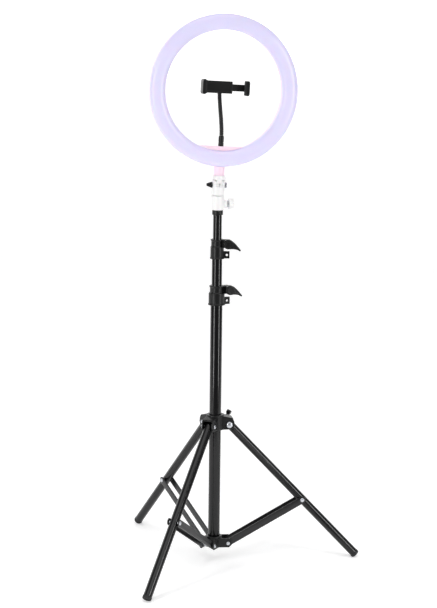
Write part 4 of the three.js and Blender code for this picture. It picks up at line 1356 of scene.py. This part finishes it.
cup_radius = BALL_RADIUS + GAP
nut = spun(
    [
        (9.5, -7),
        (9.5, 3.5),
        (8, 7),
        (6.5, 7),
        *arc(0, 0, cup_radius, 45, 25, 1),
        (cup_radius, 0),
        (cup_radius, -1.2),
        (7.2, -1.2),
        (7.2, -7),
    ],
    across=True,
)
for i in range(16):
    angle = 2 * math.pi * i / 16
    x, z = 10 * math.cos(angle), 10 * math.sin(angle)
    cut(nut, rod(1, (x, -6, z), (x, 3, z), sides=16))
nut.data.transform(Matrix.Translation((0, ball_back, clamp_up)))
edges_rounded(nut, 0.25)
fitted(nut, "grooved_ball_nut", head_frame, "ball_nut", black_nylon, "black_plastic", "ball_nut")


# ---- Phone clamp ----
# A black nylon housing with a fixed jaw on its left, a sliding jaw on a tongue at its right, and
# a ribbed rubber pad on each jaw.

JAW_FACE = 38
JAW_THICK = 5.5
JAW_HALF = 13.5
BODY_BACK = -2.5
BODY_FRONT = -9.5
JAW_FRONT = -22
SLIDE_END = 14
PAD_FACE = 35.5
PAD_BACK = 37.7
PAD_RIBS = 9
PAD_RIB_PITCH = 2.4


def jaw_outline(side):
    """A jaw seen from the front, its outer corners rounded off."""
    face, back = side * JAW_FACE, side * (JAW_FACE + JAW_THICK)
    low, high = clamp_up - JAW_HALF, clamp_up + JAW_HALF
    return [
        (face, low),
        (back - side * 2.5, low),
        *curve((back - side * 2.5, low), (back, low + 1), (back, low + 5)),
        *curve((back, high - 5), (back, high - 1), (back - side * 2.5, high)),
        (face, high),
    ]


clamp = joined(
    slab((-JAW_FACE - 1, BODY_FRONT, clamp_up - 11), (SLIDE_END, BODY_BACK, clamp_up + 11)),
    plate(jaw_outline(-1), JAW_FRONT, BODY_BACK),
    rod(6.9, (0, BODY_BACK - 1, clamp_up), (0, ball_back - 1.5, clamp_up)),
)
bpy.ops.object.select_all(action="DESELECT")
bpy.ops.mesh.primitive_uv_sphere_add(segments=48, ring_count=24, radius=cup_radius)
cup = bpy.context.object
cup.data.transform(Matrix.Translation((0, ball_back, clamp_up)))
cut(
    clamp,
    cup,
    slab(
        (-JAW_FACE + 2, BODY_FRONT + 1.5, clamp_up - 6.5),
        (SLIDE_END + 1, BODY_BACK - 1.5, clamp_up + 6.5),
    ),
    slab((-30, BODY_FRONT - 1, clamp_up - 8), (8, BODY_FRONT + 0.5, clamp_up - 7.2)),
    slab((-30, BODY_FRONT - 1, clamp_up + 7.2), (8, BODY_FRONT + 0.5, clamp_up + 8)),
)
moulded(clamp, 0.3, 3)
fitted(clamp, "clamp_housing", head_frame, "clamp", black_nylon, "black_plastic", "clamp_body")

jaw = joined(
    plate(jaw_outline(1), JAW_FRONT, BODY_BACK),
    slab(
        (SLIDE_END - 28, BODY_FRONT + 1.8, clamp_up - 6.2),
        (JAW_FACE + 1, BODY_BACK - 1.8, clamp_up + 6.2),
    ),
)
moulded(jaw, 0.3, 3)
fitted(jaw, "pull_jaw", head_frame, "jaw", black_nylon, "black_plastic", "sliding_jaw")

for node, side, body in (("fixed_pad", -1, "clamp"), ("sliding_pad", 1, "jaw")):
    near, far = sorted((side * PAD_FACE, side * PAD_BACK))
    pad = slab((near, -21, clamp_up - 12), (far, -9.8, clamp_up + 12))
    face = side * PAD_FACE
    for i in range(PAD_RIBS):
        up = clamp_up - 9.6 + PAD_RIB_PITCH * i
        cut(pad, slab((face - 0.5, -22, up - 0.45), (face + 0.5, -9, up + 0.45)))
    edges_rounded(pad, 0.15)
    fitted(pad, node + "_ribbed", head_frame, body, hard_rubber, "rubber", node)
